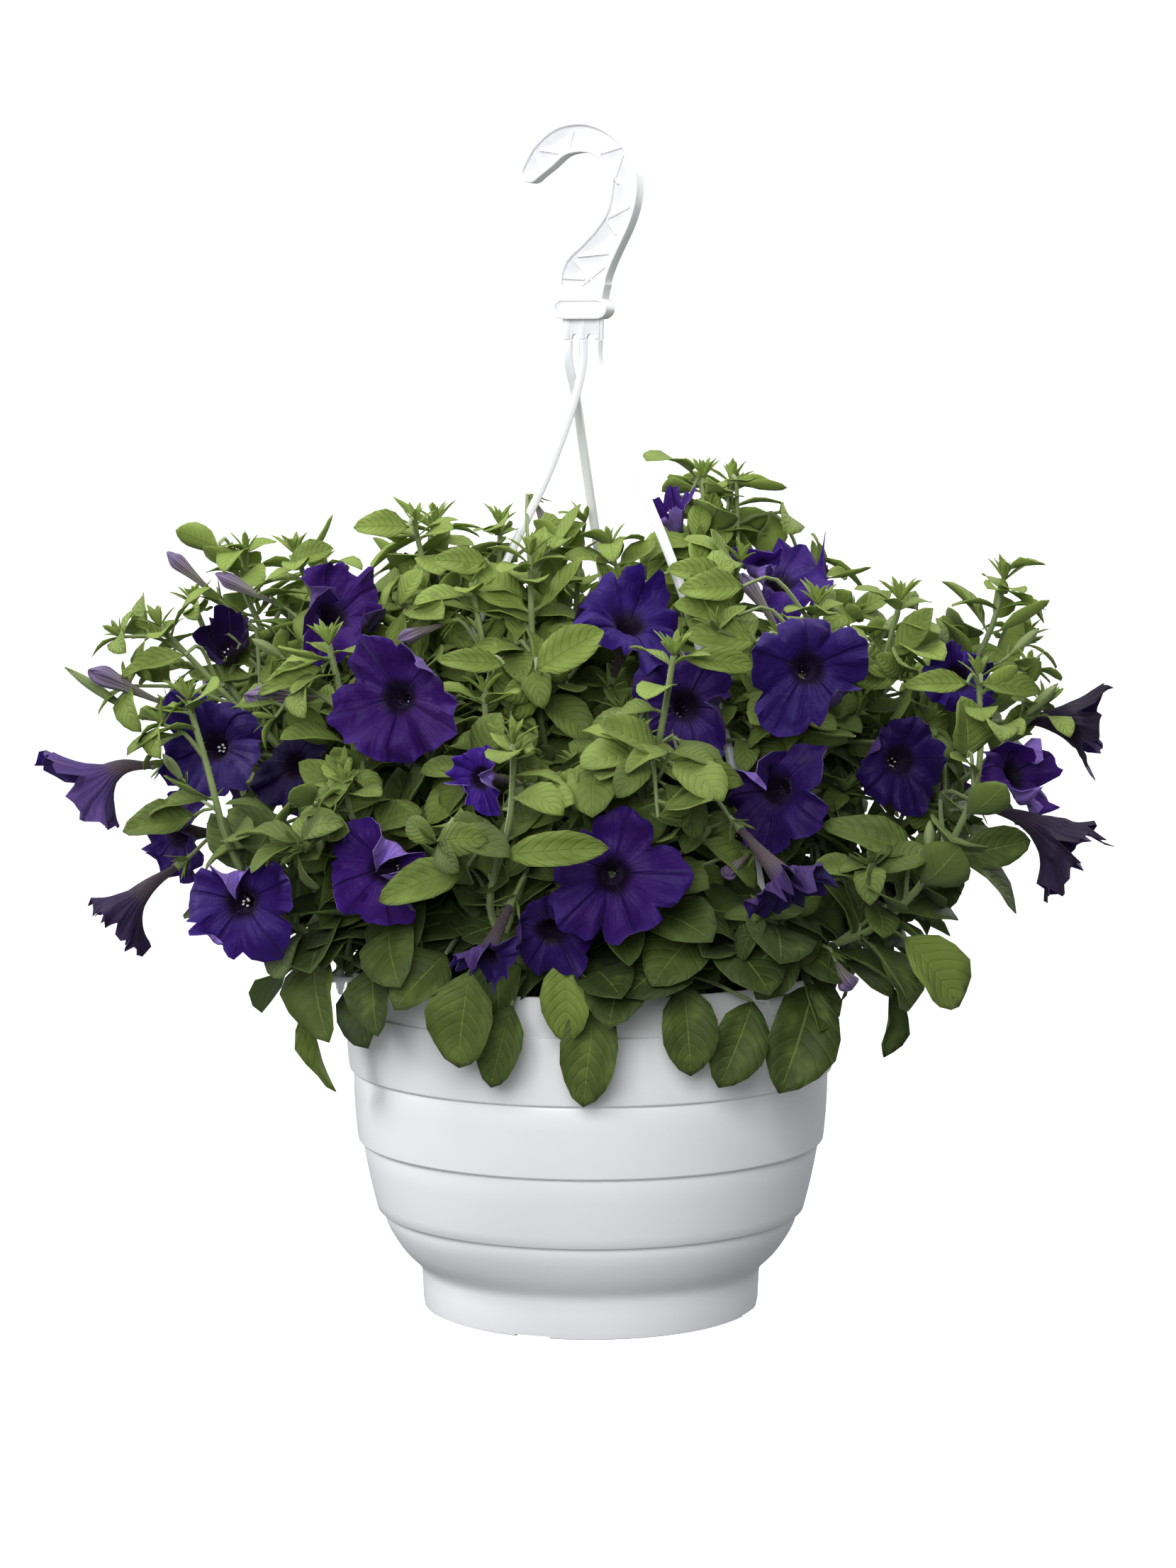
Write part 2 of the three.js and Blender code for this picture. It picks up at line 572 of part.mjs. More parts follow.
// A leaf along +X with its upper side to +Z, thickest along its midrib and arched down.
function leafGeometry({ length, width, bend, stations = [0.3, 0.7] }) {
  const positions = [];
  const index = [];
  const place = (along, side, height) => {
    const angle = radians(bend) * along;
    const reach = length * along * (1 - (angle * angle) / 6);
    const drop = (length * along * angle) / 2;
    positions.push(reach + height * Math.sin(angle), side, height * Math.cos(angle) - drop);
  };
  place(-1 / length, 0, 0);
  place(1, 0, 0);
  for (const along of stations) {
    const half = (width / 2) * Math.sin(Math.PI * along ** 0.8);
    place(along, half, 0.16 * half);
    place(along, -half, 0.16 * half);
    place(along, 0, 0.6);
    place(along, 0, -0.6);
  }
  const quad = (a, b, c, d) => index.push(a, b, c, a, c, d);
  const last = stations.length - 1;
  for (let i = 0; i < last; i += 1) {
    const [left, right, top, under] = [0, 1, 2, 3].map((k) => 2 + 4 * i + k);
    quad(top, top + 4, left + 4, left);
    quad(right, right + 4, top + 4, top);
    quad(left, left + 4, under + 4, under);
    quad(under, under + 4, right + 4, right);
  }
  index.push(0, 4, 2, 0, 3, 4, 0, 2, 5, 0, 5, 3);
  const [left, right, top, under] = [0, 1, 2, 3].map((k) => 2 + 4 * last + k);
  index.push(top, 1, left, right, 1, top, left, 1, under, under, 1, right);
  const geometry = new THREE.BufferGeometry();
  geometry.setAttribute('position', new THREE.Float32BufferAttribute(positions, 3));
  geometry.setIndex(index);
  return geometry;
}

// The small leaves at a stem's tip, as one shallow cup with pointed ends, opening along +Z.
function rosetteGeometry() {
  const { points, reach, rise, notch } = ROSETTE;
  const positions = [0, 0, -3, 0, 0, 1.5];
  const index = [];
  for (let k = 0; k < 2 * points; k += 1) {
    const angle = (Math.PI * k) / points;
    const [out, up] = k % 2 ? [notch, 0] : [reach, rise];
    positions.push(out * Math.cos(angle), out * Math.sin(angle), up);
    const [here, next] = [2 + k, 2 + ((k + 1) % (2 * points))];
    index.push(0, next, here, 1, here, next);
  }
  const geometry = new THREE.BufferGeometry();
  geometry.setAttribute('position', new THREE.Float32BufferAttribute(positions, 3));
  geometry.setIndex(index);
  return geometry;
}

// A leaf set down at a point, running out along one direction with its upper side to another.
function placedLeaf(shape, at, out, upper) {
  const side = new THREE.Vector3().crossVectors(upper, out).normalize();
  const top = new THREE.Vector3().crossVectors(out, side).normalize();
  const frame = new THREE.Matrix4().makeBasis(out.clone().normalize(), side, top);
  return toSolid(leafGeometry(shape).applyMatrix4(frame.setPosition(at)));
}

// The leaves along a stem: one at each step, a golden angle on from the last, smaller towards
// the tip, and a rosette of small ones at the tip. Each is given as a function of a further turn.
function stemLeaves(curve, seed) {
  const leaves = [];
  const count = Math.max(2, Math.round(((1 - LEAF.first) * curve.getLength()) / LEAF.step));
  const around = (tangent, degrees) => {
    const side = new THREE.Vector3(0, 0, 1).cross(tangent).normalize();
    return side.applyAxisAngle(tangent, radians(degrees));
  };
  const leaning = (tangent, degrees, lean) => {
    const out = around(tangent, degrees).multiplyScalar(Math.sin(radians(lean)));
    return out.addScaledVector(tangent, Math.cos(radians(lean)));
  };
  for (let k = 0; k < count; k += 1) {
    const t = LEAF.first + ((0.95 - LEAF.first) * k) / (count - 1);
    const at = curve.getPointAt(t);
    const tangent = curve.getTangentAt(t);
    const length = LEAF.longest + (LEAF.shortest - LEAF.longest) * t ** 1.5;
    const shape = { length, width: LEAF_RATIO * length, bend: LEAF.droop };
    leaves.push((turn) => {
      const out = leaning(tangent, seed + GOLDEN_ANGLE * k + turn, LEAF.lean);
      return placedLeaf(shape, at, out, tangent);
    });
  }
  const tangent = curve.getTangentAt(1);
  const end = curve.getPointAt(1).addScaledVector(tangent, 0.5);
  leaves.push((turn) => standing(rosetteGeometry().rotateZ(radians(turn)), end, tangent));
  return leaves;
}

// A large lower leaf between two given points, its upper side away from the pot's axis.
function rimLeaf({ base, tip, width }) {
  const [start, end] = [aboveRim(base), aboveRim(tip)];
  const out = end.clone().sub(start);
  const upper = start.clone().setZ(0).normalize().add(new THREE.Vector3(0, 0, 0.4));
  const shape = { length: out.length(), width, bend: 12, stations: [0.2, 0.5, 0.8] };
  return placedLeaf(shape, start, out, upper);
}

// Grows every shoot and flower clear of each other and of the pot, the soil and the hanger.
function growPlants(fixed) {
  const obstacles = fixed.map((solid) => ({ owner: 'holder', solid, box: solid.boundingBox() }));
  const add = (owner, solid) => {
    obstacles.push({ owner, solid, box: solid.boundingBox() });
    return solid;
  };
  const grown = STRAPS.map((settings) => strap(settings, 2 * GAP));
  const cutters = grown.map((solid) => ({ solid }));
  const shoots = SHOOTS.map((plan, number) => {
    const curves = stemCurves(plan);
    const blooms = plan.blooms ?? [];
    const pieces = curves.map((curve) => {
      cutters.push({ solid: strand(curve, STEM, 2 * GAP) });
      return add(number, strand(curve, STEM));
    });
    for (const bloom of blooms) {
      const stalk = stalkCurve(curves[0], bloom);
      cutters.push({ solid: strand(stalk, STALK, 2 * GAP), bloom });
      pieces.push(add(number, strand(stalk, STALK)), add(number, calyx(bloom)));
    }
    for (const leaf of plan.rimLeaves ?? []) {
      const petiole = petioleCurve(curves[0], leaf);
      pieces.push(add(number, strand(petiole, STALK)), add(number, rimLeaf(leaf)));
    }
    return { number, curves, blooms, pieces };
  });
  const flowers = shoots.flatMap(({ blooms }) => blooms).map((bloom, number) => {
    const inTheWay = cutters.filter((cutter) => cutter.bloom !== bloom);
    const cut = inTheWay.reduce((rest, { solid }) => rest.subtract(solid), flower(bloom));
    return add(`flower ${number}`, largest(cut));
  });
  for (const { number, curves, pieces } of shoots) {
    const others = obstacles.filter(({ owner }) => owner !== number);
    const seed = 70 * number;
    for (const leafAt of curves.flatMap((curve, k) => stemLeaves(curve, seed + 90 * k))) {
      const leaf = LEAF_TURNS.map(leafAt).find((solid) => {
        const near = solid.boundingBox();
        return others.every(({ solid: other, box: far }) => {
          return !boxesMeet(near, far) || solid.minGap(other, GAP) >= GAP;
        });
      });
      if (leaf) pieces.push(add(number, leaf));
    }
  }
  const joined = shoots.map(({ pieces }) => largest(union(pieces).simplify(SMOOTHING)));
  return { shoots: joined, flowers };
}

// The model ---------------------------------------------------------------------

const whitePlastic = new THREE.MeshStandardMaterial({ color: 0xe4e4e8, roughness: 0.35 });
const darkSoil = new THREE.MeshStandardMaterial({ color: 0x2b1d14, roughness: 1 });
const greenLeaf = new THREE.MeshStandardMaterial({ color: 0x5f8a2e, roughness: 0.7 });
const violetPetal = new THREE.MeshStandardMaterial({ color: 0x2e0f86, roughness: 0.6 });
for (const material of [whitePlastic, darkSoil, greenLeaf, violetPetal]) material.metalness = 0;

const basket = new THREE.Group();
const hangingPot = new THREE.Group();
hangingPot.position.x = AXIS_X;
basket.add(hangingPot);

function addMesh(group, name, solid, material) {
  const mesh = new THREE.Mesh(toGeometry(solid), material);
  mesh.name = name;
  group.add(mesh);
}

addMesh(basket, 'hook', hook().rotate([0, 0, HOOK.turn]), whitePlastic);
const holder = [
  ['pot', pot(), whitePlastic],
  ['soil', soil(), darkSoil],
  ...STRAPS.map((settings) => [settings.name, strap(settings), whitePlastic]),
];
for (const [name, solid, material] of holder) addMesh(hangingPot, name, solid, material);

const plants = growPlants(holder.map(([, solid]) => solid));
const numbered = (word, k) => `${word}_${String(k + 1).padStart(2, '0')}`;
plants.shoots.forEach((solid, k) => {
  addMesh(hangingPot, numbered('shoot', k), solid, greenLeaf);
});
plants.flowers.forEach((solid, k) => {
  addMesh(hangingPot, numbered('flower', k), solid, violetPetal);
});

export default basket;
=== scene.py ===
"""Looks of a petunia hanging basket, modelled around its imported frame."""

from contextlib import contextmanager
import math
import random

import bpy
from bpy.props import FloatProperty, FloatVectorProperty, IntProperty, PointerProperty
from mathutils import Matrix, Quaternion, Vector, noise


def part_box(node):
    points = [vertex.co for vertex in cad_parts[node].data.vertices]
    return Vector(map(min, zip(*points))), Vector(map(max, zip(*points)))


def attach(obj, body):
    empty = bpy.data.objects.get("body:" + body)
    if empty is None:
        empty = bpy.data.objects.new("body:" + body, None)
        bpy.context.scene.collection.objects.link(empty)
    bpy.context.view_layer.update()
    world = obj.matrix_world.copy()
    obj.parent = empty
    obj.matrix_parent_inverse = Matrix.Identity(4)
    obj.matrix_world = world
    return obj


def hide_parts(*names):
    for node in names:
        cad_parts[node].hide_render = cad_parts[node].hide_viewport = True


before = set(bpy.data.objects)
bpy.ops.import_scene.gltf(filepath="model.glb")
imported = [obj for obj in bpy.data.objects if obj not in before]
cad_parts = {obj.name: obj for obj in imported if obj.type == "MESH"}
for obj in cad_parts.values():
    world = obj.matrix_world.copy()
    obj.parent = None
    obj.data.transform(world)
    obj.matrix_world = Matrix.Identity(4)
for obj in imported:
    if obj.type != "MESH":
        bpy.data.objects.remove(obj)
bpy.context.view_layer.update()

bl_info = {
    "name": "Petunia hanging basket",
    "version": (1, 0, 0),
    "blender": (4, 5, 0),
    "location": "View3D > Sidebar > Basket",
    "description": "Models a hanging petunia: pot, soil, hanger, shoots, flowers and stage",
    "category": "Object",
}

MM = 0.001
AXIS_X = 3.8 * MM  # the pot's axis hangs this far to the right of the hook's seat
BODY = "root"
RIM_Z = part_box("pot")[1].z
SOIL_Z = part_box("soil")[1].z
FOOT_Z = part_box("pot")[0].z

# The plant's layout. Points are (x, y, height above the rim) in millimetres from the pot's
# axis, as in the construction. A shoot stands "root" from the axis, follows its path and may
# fork once. A bloom has the share of the stem at which its stalk leaves, its face's centre,
# where it faces as (turn from the front, lift) in degrees, the radius of its rim, the length of
# its tube and the form it has opened to. A leaf that hangs over the rim has the share of the
# stem, its base, its tip and its width.

SHOOTS = [
    dict(root=70, path=[(-105, 2, 62), (-160, -8, 112), (-222, -20, 178)],
         fork=(0.62, [(-185, 15, 140), (-207, 22, 188)]),
         blooms=[(0.6, (-262, -22, 92), (-78, -14), 21, 42, "bell"),
                 (0.45, (-212, -34, 70), (-40, 5), 24, 34, "open")]),
    dict(root=82, path=[(-128, -66, 14), (-172, -100, 62), (-186, -100, 108), (-198, -92, 148)],
         blooms=[(0.5, (-238, -74, 30), (-74, -38), 18, 44, "droop"),
                 (0.3, (-170, -128, 48), (-12, 10), 31, 34, "star")],
         rim=[(0.16, (-138, -78, 16), (-134, -108, -22), 33),
              (0.1, (-143, -52, -14), (-134, -56, -62), 14)]),
    dict(root=58, path=[(-112, 32, 84), (-166, 36, 160), (-188, 36, 208)],
         blooms=[(0.5, (-189, -64, 118), (-22, 16), 29, 36, "open"),
                 (0.75, (-186, -6, 168), (0, 30), 22, 34, "young")]),
    dict(root=38, path=[(-92, -2, 96), (-128, -14, 160), (-150, -36, 216)],
         fork=(0.45, [(-128, 34, 160), (-144, 58, 206)]),
         blooms=[(0.8, (-126, -54, 185), (30, 44), 27, 34, "flared")]),
    dict(root=74, path=[(-84, -86, 46), (-112, -100, 110), (-128, -106, 176)],
         fork=(0.42, [(-112, -132, 84), (-118, -148, 110)]),
         blooms=[(0.7, (-94, -134, 147), (-14, 8), 32, 36, "open"),
                 (0.25, (-100, -152, 67), (-18, 6), 29, 36, "open"),
                 (0.55, (-150, -48, 106), (-20, 12), 23, 32, "open")],
         rim=[(0.14, (-106, -112, 14), (-106, -136, -14), 27),
              (0.1, (-70, -128, 22), (-94, -150, 2), 30)]),
    dict(root=24, path=[(-52, -6, 92), (-76, -14, 170), (-90, -20, 230)],
         fork=(0.6, [(-78, 16, 190), (-80, 30, 230)])),
    dict(root=36, path=[(-36, -40, 92), (-52, -56, 160), (-60, -62, 204)],
         fork=(0.35, [(-46, -10, 170), (-46, 2, 230)])),
    dict(root=62, path=[(-44, -84, 60), (-50, -98, 112), (-52, -98, 152)],
         blooms=[(0.5, (-54, -152, 110), (-30, 10), 15, 36, "flared")]),
    dict(root=20, path=[(-18, -44, 84), (-28, -66, 155), (-30, -66, 218)],
         fork=(0.4, [(-10, 10, 150), (-5, 36, 214)])),
    dict(root=46, path=[(14, -52, 84), (16, -44, 150), (14, -34, 200)],
         fork=(0.45, [(48, -38, 149), (77, -50, 213)]),
         blooms=[(0.72, (20, -94, 184), (20, 52), 29, 42, "flared")]),
    dict(root=14, path=[(36, 6, 110), (56, 14, 200), (58, 20, 254)],
         fork=(0.78, [(70, 34, 226), (74, 44, 250)]),
         blooms=[(0.8, (38, -2, 240), (-30, 60), 12, 30, "young")]),
    dict(root=40, path=[(80, 12, 104), (108, 8, 168), (122, 2, 210)],
         blooms=[(0.75, (96, -14, 202), (10, 64), 33, 36, "open")]),
    dict(root=56, path=[(84, -46, 78), (104, -70, 142), (112, -80, 194)],
         fork=(0.42, [(138, -50, 140), (156, -46, 194)]),
         blooms=[(0.78, (104, -136, 162), (4, 14), 32, 36, "star"),
                 (0.45, (153, -82, 112), (10, 10), 24, 34, "open")]),
    dict(root=58, path=[(124, 12, 84), (186, -2, 140), (204, -4, 172), (212, 0, 202)],
         fork=(0.58, [(208, 26, 140), (228, 26, 170)]),
         blooms=[(0.75, (186, -36, 150), (20, 20), 20, 32, "open")]),
    dict(root=84, path=[(104, -76, 14), (146, -108, 38), (186, -100, 96), (190, -82, 158)],
         blooms=[(0.62, (234, -82, 72), (70, -20), 25, 42, "droop"),
                 (0.72, (214, -66, 105), (50, 24), 24, 34, "open")],
         rim=[(0.36, (152, -116, 28), (186, -110, -6), 32),
              (0.28, (142, -86, 18), (166, -70, -16), 22),
              (0.2, (150, -62, -4), (152, -62, -42), 15),
              (0.18, (108, -106, 4), (96, -134, -44), 40)]),
    dict(root=78, path=[(140, -30, 60), (196, -44, 106), (230, -50, 140)],
         blooms=[(0.85, (256, -44, 128), (78, 2), 19, 42, "trumpet")]),
    dict(root=88, path=[(-34, -122, 18), (-48, -152, 48), (-38, -166, 92), (-36, -172, 134)],
         blooms=[(0.4, (-50, -192, 28), (-26, -40), 15, 36, "flared"),
                 (0.3, (-20, -160, 34), (-10, -25), 22, 32, "open")],
         rim=[(0.22, (-58, -146, 16), (-66, -150, -32), 36),
              (0.16, (-38, -136, -2), (-50, -142, -42), 25),
              (0.14, (2, -138, 4), (-4, -146, -52), 30),
              (0.2, (-12, -146, 24), (-12, -150, -20), 26)]),
    dict(root=84, path=[(18, -112, 22), (22, -140, 84), (32, -150, 126), (40, -152, 174)],
         fork=(0.62, [(20, -158, 122), (22, -160, 134)]),
         blooms=[(0.3, (10, -176, 66), (0, 6), 34, 36, "star"),
                 (0.55, (47, -112, 143), (10, 20), 31, 36, "open"),
                 (0.5, (87, -122, 101), (-28, 6), 27, 34, "open"),
                 (0.42, (94, -172, 60), (40, -34), 20, 44, "flared")],
         rim=[(0.2, (44, -132, 8), (50, -142, -36), 30),
              (0.16, (78, -122, -2), (64, -138, -42), 30)]),
    dict(root=60, path=[(100, 62, 70), (150, 84, 110), (186, 96, 140)],
         fork=(0.5, [(140, 56, 130), (166, 50, 164)]),
         blooms=[(0.7, (184, 110, 92), (128, 10), 30, 36, "open")]),
    dict(root=62, path=[(62, 96, 70), (96, 140, 110), (112, 168, 138)],
         fork=(0.5, [(66, 136, 140), (62, 150, 176)]),
         blooms=[(0.62, (76, 176, 84), (160, 8), 31, 36, "star")],
         rim=[(0.14, (92, 104, 6), (100, 116, -38), 32)]),
    dict(root=56, path=[(2, 100, 80), (6, 150, 120), (10, 184, 140)],
         fork=(0.45, [(-8, 110, 140), (-4, 110, 190)]),
         rim=[(0.12, (-10, 138, 6), (-14, 152, -40), 34)]),
    dict(root=60, path=[(-56, 96, 70), (-92, 142, 106), (-112, 164, 132)],
         fork=(0.5, [(-62, 128, 144), (-66, 136, 184)]),
         blooms=[(0.6, (-58, 182, 80), (190, 8), 31, 36, "open")],
         rim=[(0.12, (-86, 112, 4), (-92, 124, -40), 32)]),
    dict(root=62, path=[(-106, 66, 64), (-158, 88, 104), (-194, 96, 134)],
         fork=(0.5, [(-140, 76, 130), (-150, 84, 174)]),
         blooms=[(0.7, (-176, 132, 88), (222, 10), 30, 36, "star")]),
]

# Buds: which shoot, how far along it the stalk leaves, the bud's base and tip, and its form.
BUDS = [
    (2, 0.82, (-195, 24, 188), (-218, 30, 208), "faded"),
    (3, 0.72, (-161, 0, 184), (-191, 10, 198), "faded"),
    (0, 0.72, (-234, -26, 132), (-263, -34, 153), "green"),
    (0, 0.66, (-216, -34, 136), (-250, -40, 152), "lilac"),
    (4, 0.66, (-126, -90, 142), (-167, -96, 144), "lilac"),
    (1, 0.74, (-202, -70, 101), (-211, -70, 113), "green"),
    (3, 0.6, (-155, -40, 160), (-169, -40, 168), "green"),
    (6, 0.8, (-73, -66, 177), (-94, -70, 170), "faded"),
    (17, 0.7, (17, -150, 136), (27, -150, 127), "green"),
    (8, 0.85, (-28, 6, 234), (-20, 0, 219), "lilac"),
    (12, 0.7, (91, -70, 177), (75, -60, 201), "faded"),
    (13, 0.8, (213, -24, 161), (226, -20, 172), "green"),
    (15, 0.85, (216, -60, 132), (231, -60, 147), "green"),
    (12, 0.6, (145, -34, 168), (155, -30, 181), "green"),
    (17, 0.4, (75, -120, 68), (64, -130, 60), "faded"),
    (4, 0.3, (-124, -96, 73), (-139, -100, 74), "green"),
    (16, 0.8, (-39, -160, 98), (-32, -160, 106), "green"),
    (14, 0.5, (164, -104, 68), (165, -100, 83), "green"),
    (14, 0.2, (119, -112, 16), (126, -116, 3), "lilac"),
]
# Buds on the far side, in keeping with those at the front.
FAR_BUDS = [
    (18, 0.85, (180, 96, 120), (206, 100, 134), "green"),
    (19, 0.9, (108, 158, 126), (124, 176, 138), "lilac"),
    (20, 0.9, (6, 172, 138), (14, 190, 156), "green"),
    (21, 0.85, (-104, 152, 122), (-122, 170, 136), "faded"),
    (22, 0.85, (-180, 92, 122), (-206, 96, 138), "lilac"),
]

# Leafy side branches that close gaps: which shoot, its stem (0) or fork (1), how far along it the
# branch leaves, and its end.
FILLS = [
    (9, 1, 0.70, (56, -82, 196)), (12, 0, 0.80, (62, -98, 176)), (12, 0, 0.60, (60, -88, 122)),
    (14, 0, 0.22, (84, -132, 40)), (17, 0, 0.15, (72, -130, 26)), (12, 0, 0.45, (70, -104, 84)),
    (0, 0, 0.90, (-236, -20, 168)), (2, 0, 0.90, (-178, 32, 208)), (0, 0, 0.75, (-232, -30, 144)),
    (8, 1, 0.90, (-3, 28, 224)), (15, 0, 0.90, (220, -34, 152)), (8, 0, 0.92, (-16, -40, 214)),
    (9, 0, 0.95, (10, -30, 214)),
    (2, 0, 0.60, (-186, 10, 168)), (1, 0, 0.85, (-208, -96, 130)),
]

# Large single leaves: which shoot, how far along it the stalk leaves, the blade's base and tip,
# its width and how light its green is, partly for its age and partly as painted light and shade.
SINGLE_LEAVES = [
    (7, 0.45, (-58, -176, 70), (-101, -182, 56), 21, 0.9),
    (1, 0.60, (-194, -92, 85), (-229, -100, 81), 20, 0.1),
    (1, 0.42, (-139, -112, 68), (-176, -118, 90), 24, 0.0),
    (4, 0.45, (-110, -120, 95), (-140, -128, 114), 20, 0.6),
    (14, 0.50, (156, -122, 70), (112, -128, 88), 20, 0.0),
    (14, 0.60, (177, -96, 65), (218, -92, 74), 22, 0.1),
    (16, 0.60, (-40, -198, 78), (8, -206, 84), 18, 0.8),
    (17, 0.60, (30, -168, 118), (73, -172, 110), 17, 0.4),
    (8, 0.70, (-26, -118, 158), (5, -124, 179), 22, 0.4),
    (14, 0.75, (183, -98, 114), (184, -104, 144), 27, 0.2),
    (2, 0.95, (-192, 20, 212), (-213, 20, 222), 15, 0.6),
    (5, 0.95, (-91, -38, 224), (-118, -44, 226), 16, 0.6),
    (6, 0.95, (-50, -62, 206), (-78, -66, 210), 15, 0.4),
    (7, 0.95, (-42, -108, 160), (-74, -114, 164), 13, 0.5),
    (0, 0.80, (-203, -40, 160), (-237, -44, 153), 13, 0.3),
    (4, 0.80, (-130, -104, 158), (-163, -108, 148), 14, 0.3),
    (13, 0.95, (213, 4, 190), (235, 4, 178), 14, 0.4),
    (13, 0.97, (211, 4, 200), (231, 4, 208), 14, 0.6),
    (14, 0.96, (183, -94, 150), (152, -100, 151), 13, 0.5),
    (14, 0.96, (190, -94, 150), (220, -96, 148), 13, 0.5),
    (3, 0.92, (-150, -40, 206), (-130, -48, 216), 14, 0.5),
    (12, 0.85, (72, -80, 182), (42, -92, 190), 17, 0.3),
    (9, 0.95, (66, -76, 200), (38, -84, 207), 15, 0.5),
    (12, 0.92, (74, -90, 197), (43, -98, 197), 17, 0.4),
    (12, 0.80, (80, -92, 170), (46, -100, 176), 19, 0.3),
    (17, 0.15, (97, -128, 27), (81, -142, 2), 22, 0.0),
    (17, 0.90, (44, -146, 166), (80, -148, 163), 13, 0.5),
]

# How light each flower is painted, as painted light and shade for where it lies in the light: its
# face, where 1 is as the setting has it, and its outside, from near black in painted shade at 0 to
# lilac in painted light at 1.
FLOWER_LIGHT_AND_SHADE = [
    (0.80, 0.66), (0.85, 0.50), (0.60, 0.20), (1.00, 0.95), (0.65, 0.50), (0.45, 0.14),
    (1.05, 0.60), (0.95, 0.70), (1.20, 1.00), (0.35, 0.30), (1.60, 1.00), (0.95, 0.50),
    (1.40, 1.00), (1.15, 0.75), (0.75, 0.50), (0.50, 0.60), (1.10, 0.70), (0.50, 0.12),
    (1.10, 1.00), (0.50, 0.06), (0.60, 0.55), (0.75, 0.50), (0.90, 0.60), (0.75, 0.60),
    (0.65, 0.90), (0.40, 0.50), (0.85, 0.60), (0.95, 0.70), (0.80, 0.50), (0.90, 0.60),
]


# --- Settings ---

def colour(name, description, default):
    return FloatVectorProperty(name=name, description=description, subtype="COLOR", size=3,
                               min=0.0, max=1.0, default=default)


def distance(name, description, default):
    return FloatProperty(name=name, description=description, unit="LENGTH", default=default)


def bearing(name, description, degrees):
    return FloatProperty(name=name, description=description, subtype="ANGLE",
                         default=math.radians(degrees))


def amount(name, description, default, least=0):
    return IntProperty(name=name, description=description, default=default, min=least)


class BasketPotSettings(bpy.types.PropertyGroup):
    """Sizes and colours of the pot and its soil."""
    sides: amount("Sides", "Faces round the pot", 120, 24)
    white: colour("White", "Colour of the pot's and hanger's plastic", (0.86, 0.86, 0.885))
    ear_reach: distance("Ear reach", "How far an ear stands from the axis", 136 * MM)
    ear_width: distance("Ear width", "Width of an ear on the rim", 16 * MM)
    soil: colour("Soil", "Colour of the moist soil", (0.035, 0.022, 0.014))
    crumbs: amount("Crumbs", "Loose lumps on the soil", 260)


class BasketHangerSettings(bpy.types.PropertyGroup):
    """Sizes of the hook and its straps."""
    turn: bearing("Turn", "How far the hook is turned about its hanging line", -22)
    thick: distance("Thickness", "Thickness of the hook", 10 * MM)
    border: distance("Border", "Width of the hook's raised border", 2.1 * MM)
    recess: distance("Recess", "Depth of the panel inside the border", 2.4 * MM)
    strap_width: distance("Strap width", "Width of a strap", 4.4 * MM)
    strap_thick: distance("Strap thickness", "Thickness of a strap", 4 * MM)


class BasketPlantSettings(bpy.types.PropertyGroup):
    """Sizes and colours of the shoots and flowers."""
    leaf_long: distance("Longest leaf", "Length of a low leaf", 52 * MM)
    leaf_short: distance("Shortest leaf", "Length of a leaf near a tip", 28 * MM)
    leaf_step: distance("Leaf spacing", "Length of stem between pairs of leaves", 19 * MM)
    branches: amount("Branches", "Side branches of each stem", 5)
    low_leaves: amount("Low leaves", "Leaves of each shoot near the rim", 9)
    stem: distance("Stem", "Radius of a stem at the soil", 2.2 * MM)
    hair: distance("Hair", "Length of a stem's hairs", 1.5 * MM)
    young_leaf: colour("Young leaf", "Colour of leaves near the tips", (0.226, 0.312, 0.060))
    old_and_shaded_leaf: colour("Old leaf", "Colour of leaves low on the plant", (0.031, 0.050, 0.011))
    stem_green: colour("Stem", "Colour of the stems", (0.190, 0.255, 0.080))
    petal: colour("Petal", "Colour of an open petal", (0.0225, 0.0050, 0.128))
    petal_back: colour("Petal back", "Colour of the outside of a flower", (0.062, 0.027, 0.150))
    throat: colour("Throat", "Colour deep in a flower", (0.007, 0.0015, 0.012))


class BasketStageSettings(bpy.types.PropertyGroup):
    """The floor, light and camera."""
    floor: colour("Floor", "Colour of the floor", (0.86, 0.86, 0.86))
    drop: distance("Drop", "How far the floor lies below the hanging pot", 0.42)
    glow: FloatProperty(name="Glow", description="How much floor and walls glow", default=1.0)
    lens: FloatProperty(name="Lens", description="Focal length in millimetres", default=90.16)
    camera: FloatVectorProperty(name="Camera", description="Place of the camera", unit="LENGTH",
                                size=3, default=(0.0024, -2.0, -0.120))
    look_down: bearing("Look down", "Tilt of the camera below level", 5.7)


def settings():
    return bpy.context.scene.basket_settings


class BasketSettings(bpy.types.PropertyGroup):
    """All the settings of the basket."""
    pot: PointerProperty(type=BasketPotSettings)
    hanger: PointerProperty(type=BasketHangerSettings)
    plant: PointerProperty(type=BasketPlantSettings)
    stage: PointerProperty(type=BasketStageSettings)


# --- Materials ---

# Colours that no setting changes. Pairs run from the darker one to the lighter one.
PURE_WHITE = (1.0, 1.0, 1.0)
PERLITE_TONES = ((0.50, 0.48, 0.44), (0.72, 0.71, 0.68))
HAIR_TONES = ((0.52, 0.58, 0.38), (0.70, 0.73, 0.58))
HAIR_GLOW = (0.75, 0.8, 0.6)
PETAL_GLOW = (0.09, 0.018, 0.36)
PETAL_SHEEN = (0.50, 0.32, 0.95)
SHADED_LIMB = (0.010, 0.005, 0.017)  # painted shade: the outside of flowers that lie in shadow
LIT_LIMB = (0.235, 0.140, 0.500)  # the outside's lilac, lightened as painted light
LIMB_PATCH = (0.92, 0.90, 0.94)
TUBE_BROWNS = ((0.060, 0.038, 0.052), (0.125, 0.095, 0.098))
BACK_VEIN = (0.030, 0.010, 0.060)
BACK_GLOW = (0.10, 0.03, 0.35)
WILTED_SKIN = ((0.20, 0.19, 0.13), (0.155, 0.105, 0.220))  # from the stalk to the tip
WILTED_FOLD = (0.050, 0.024, 0.082)
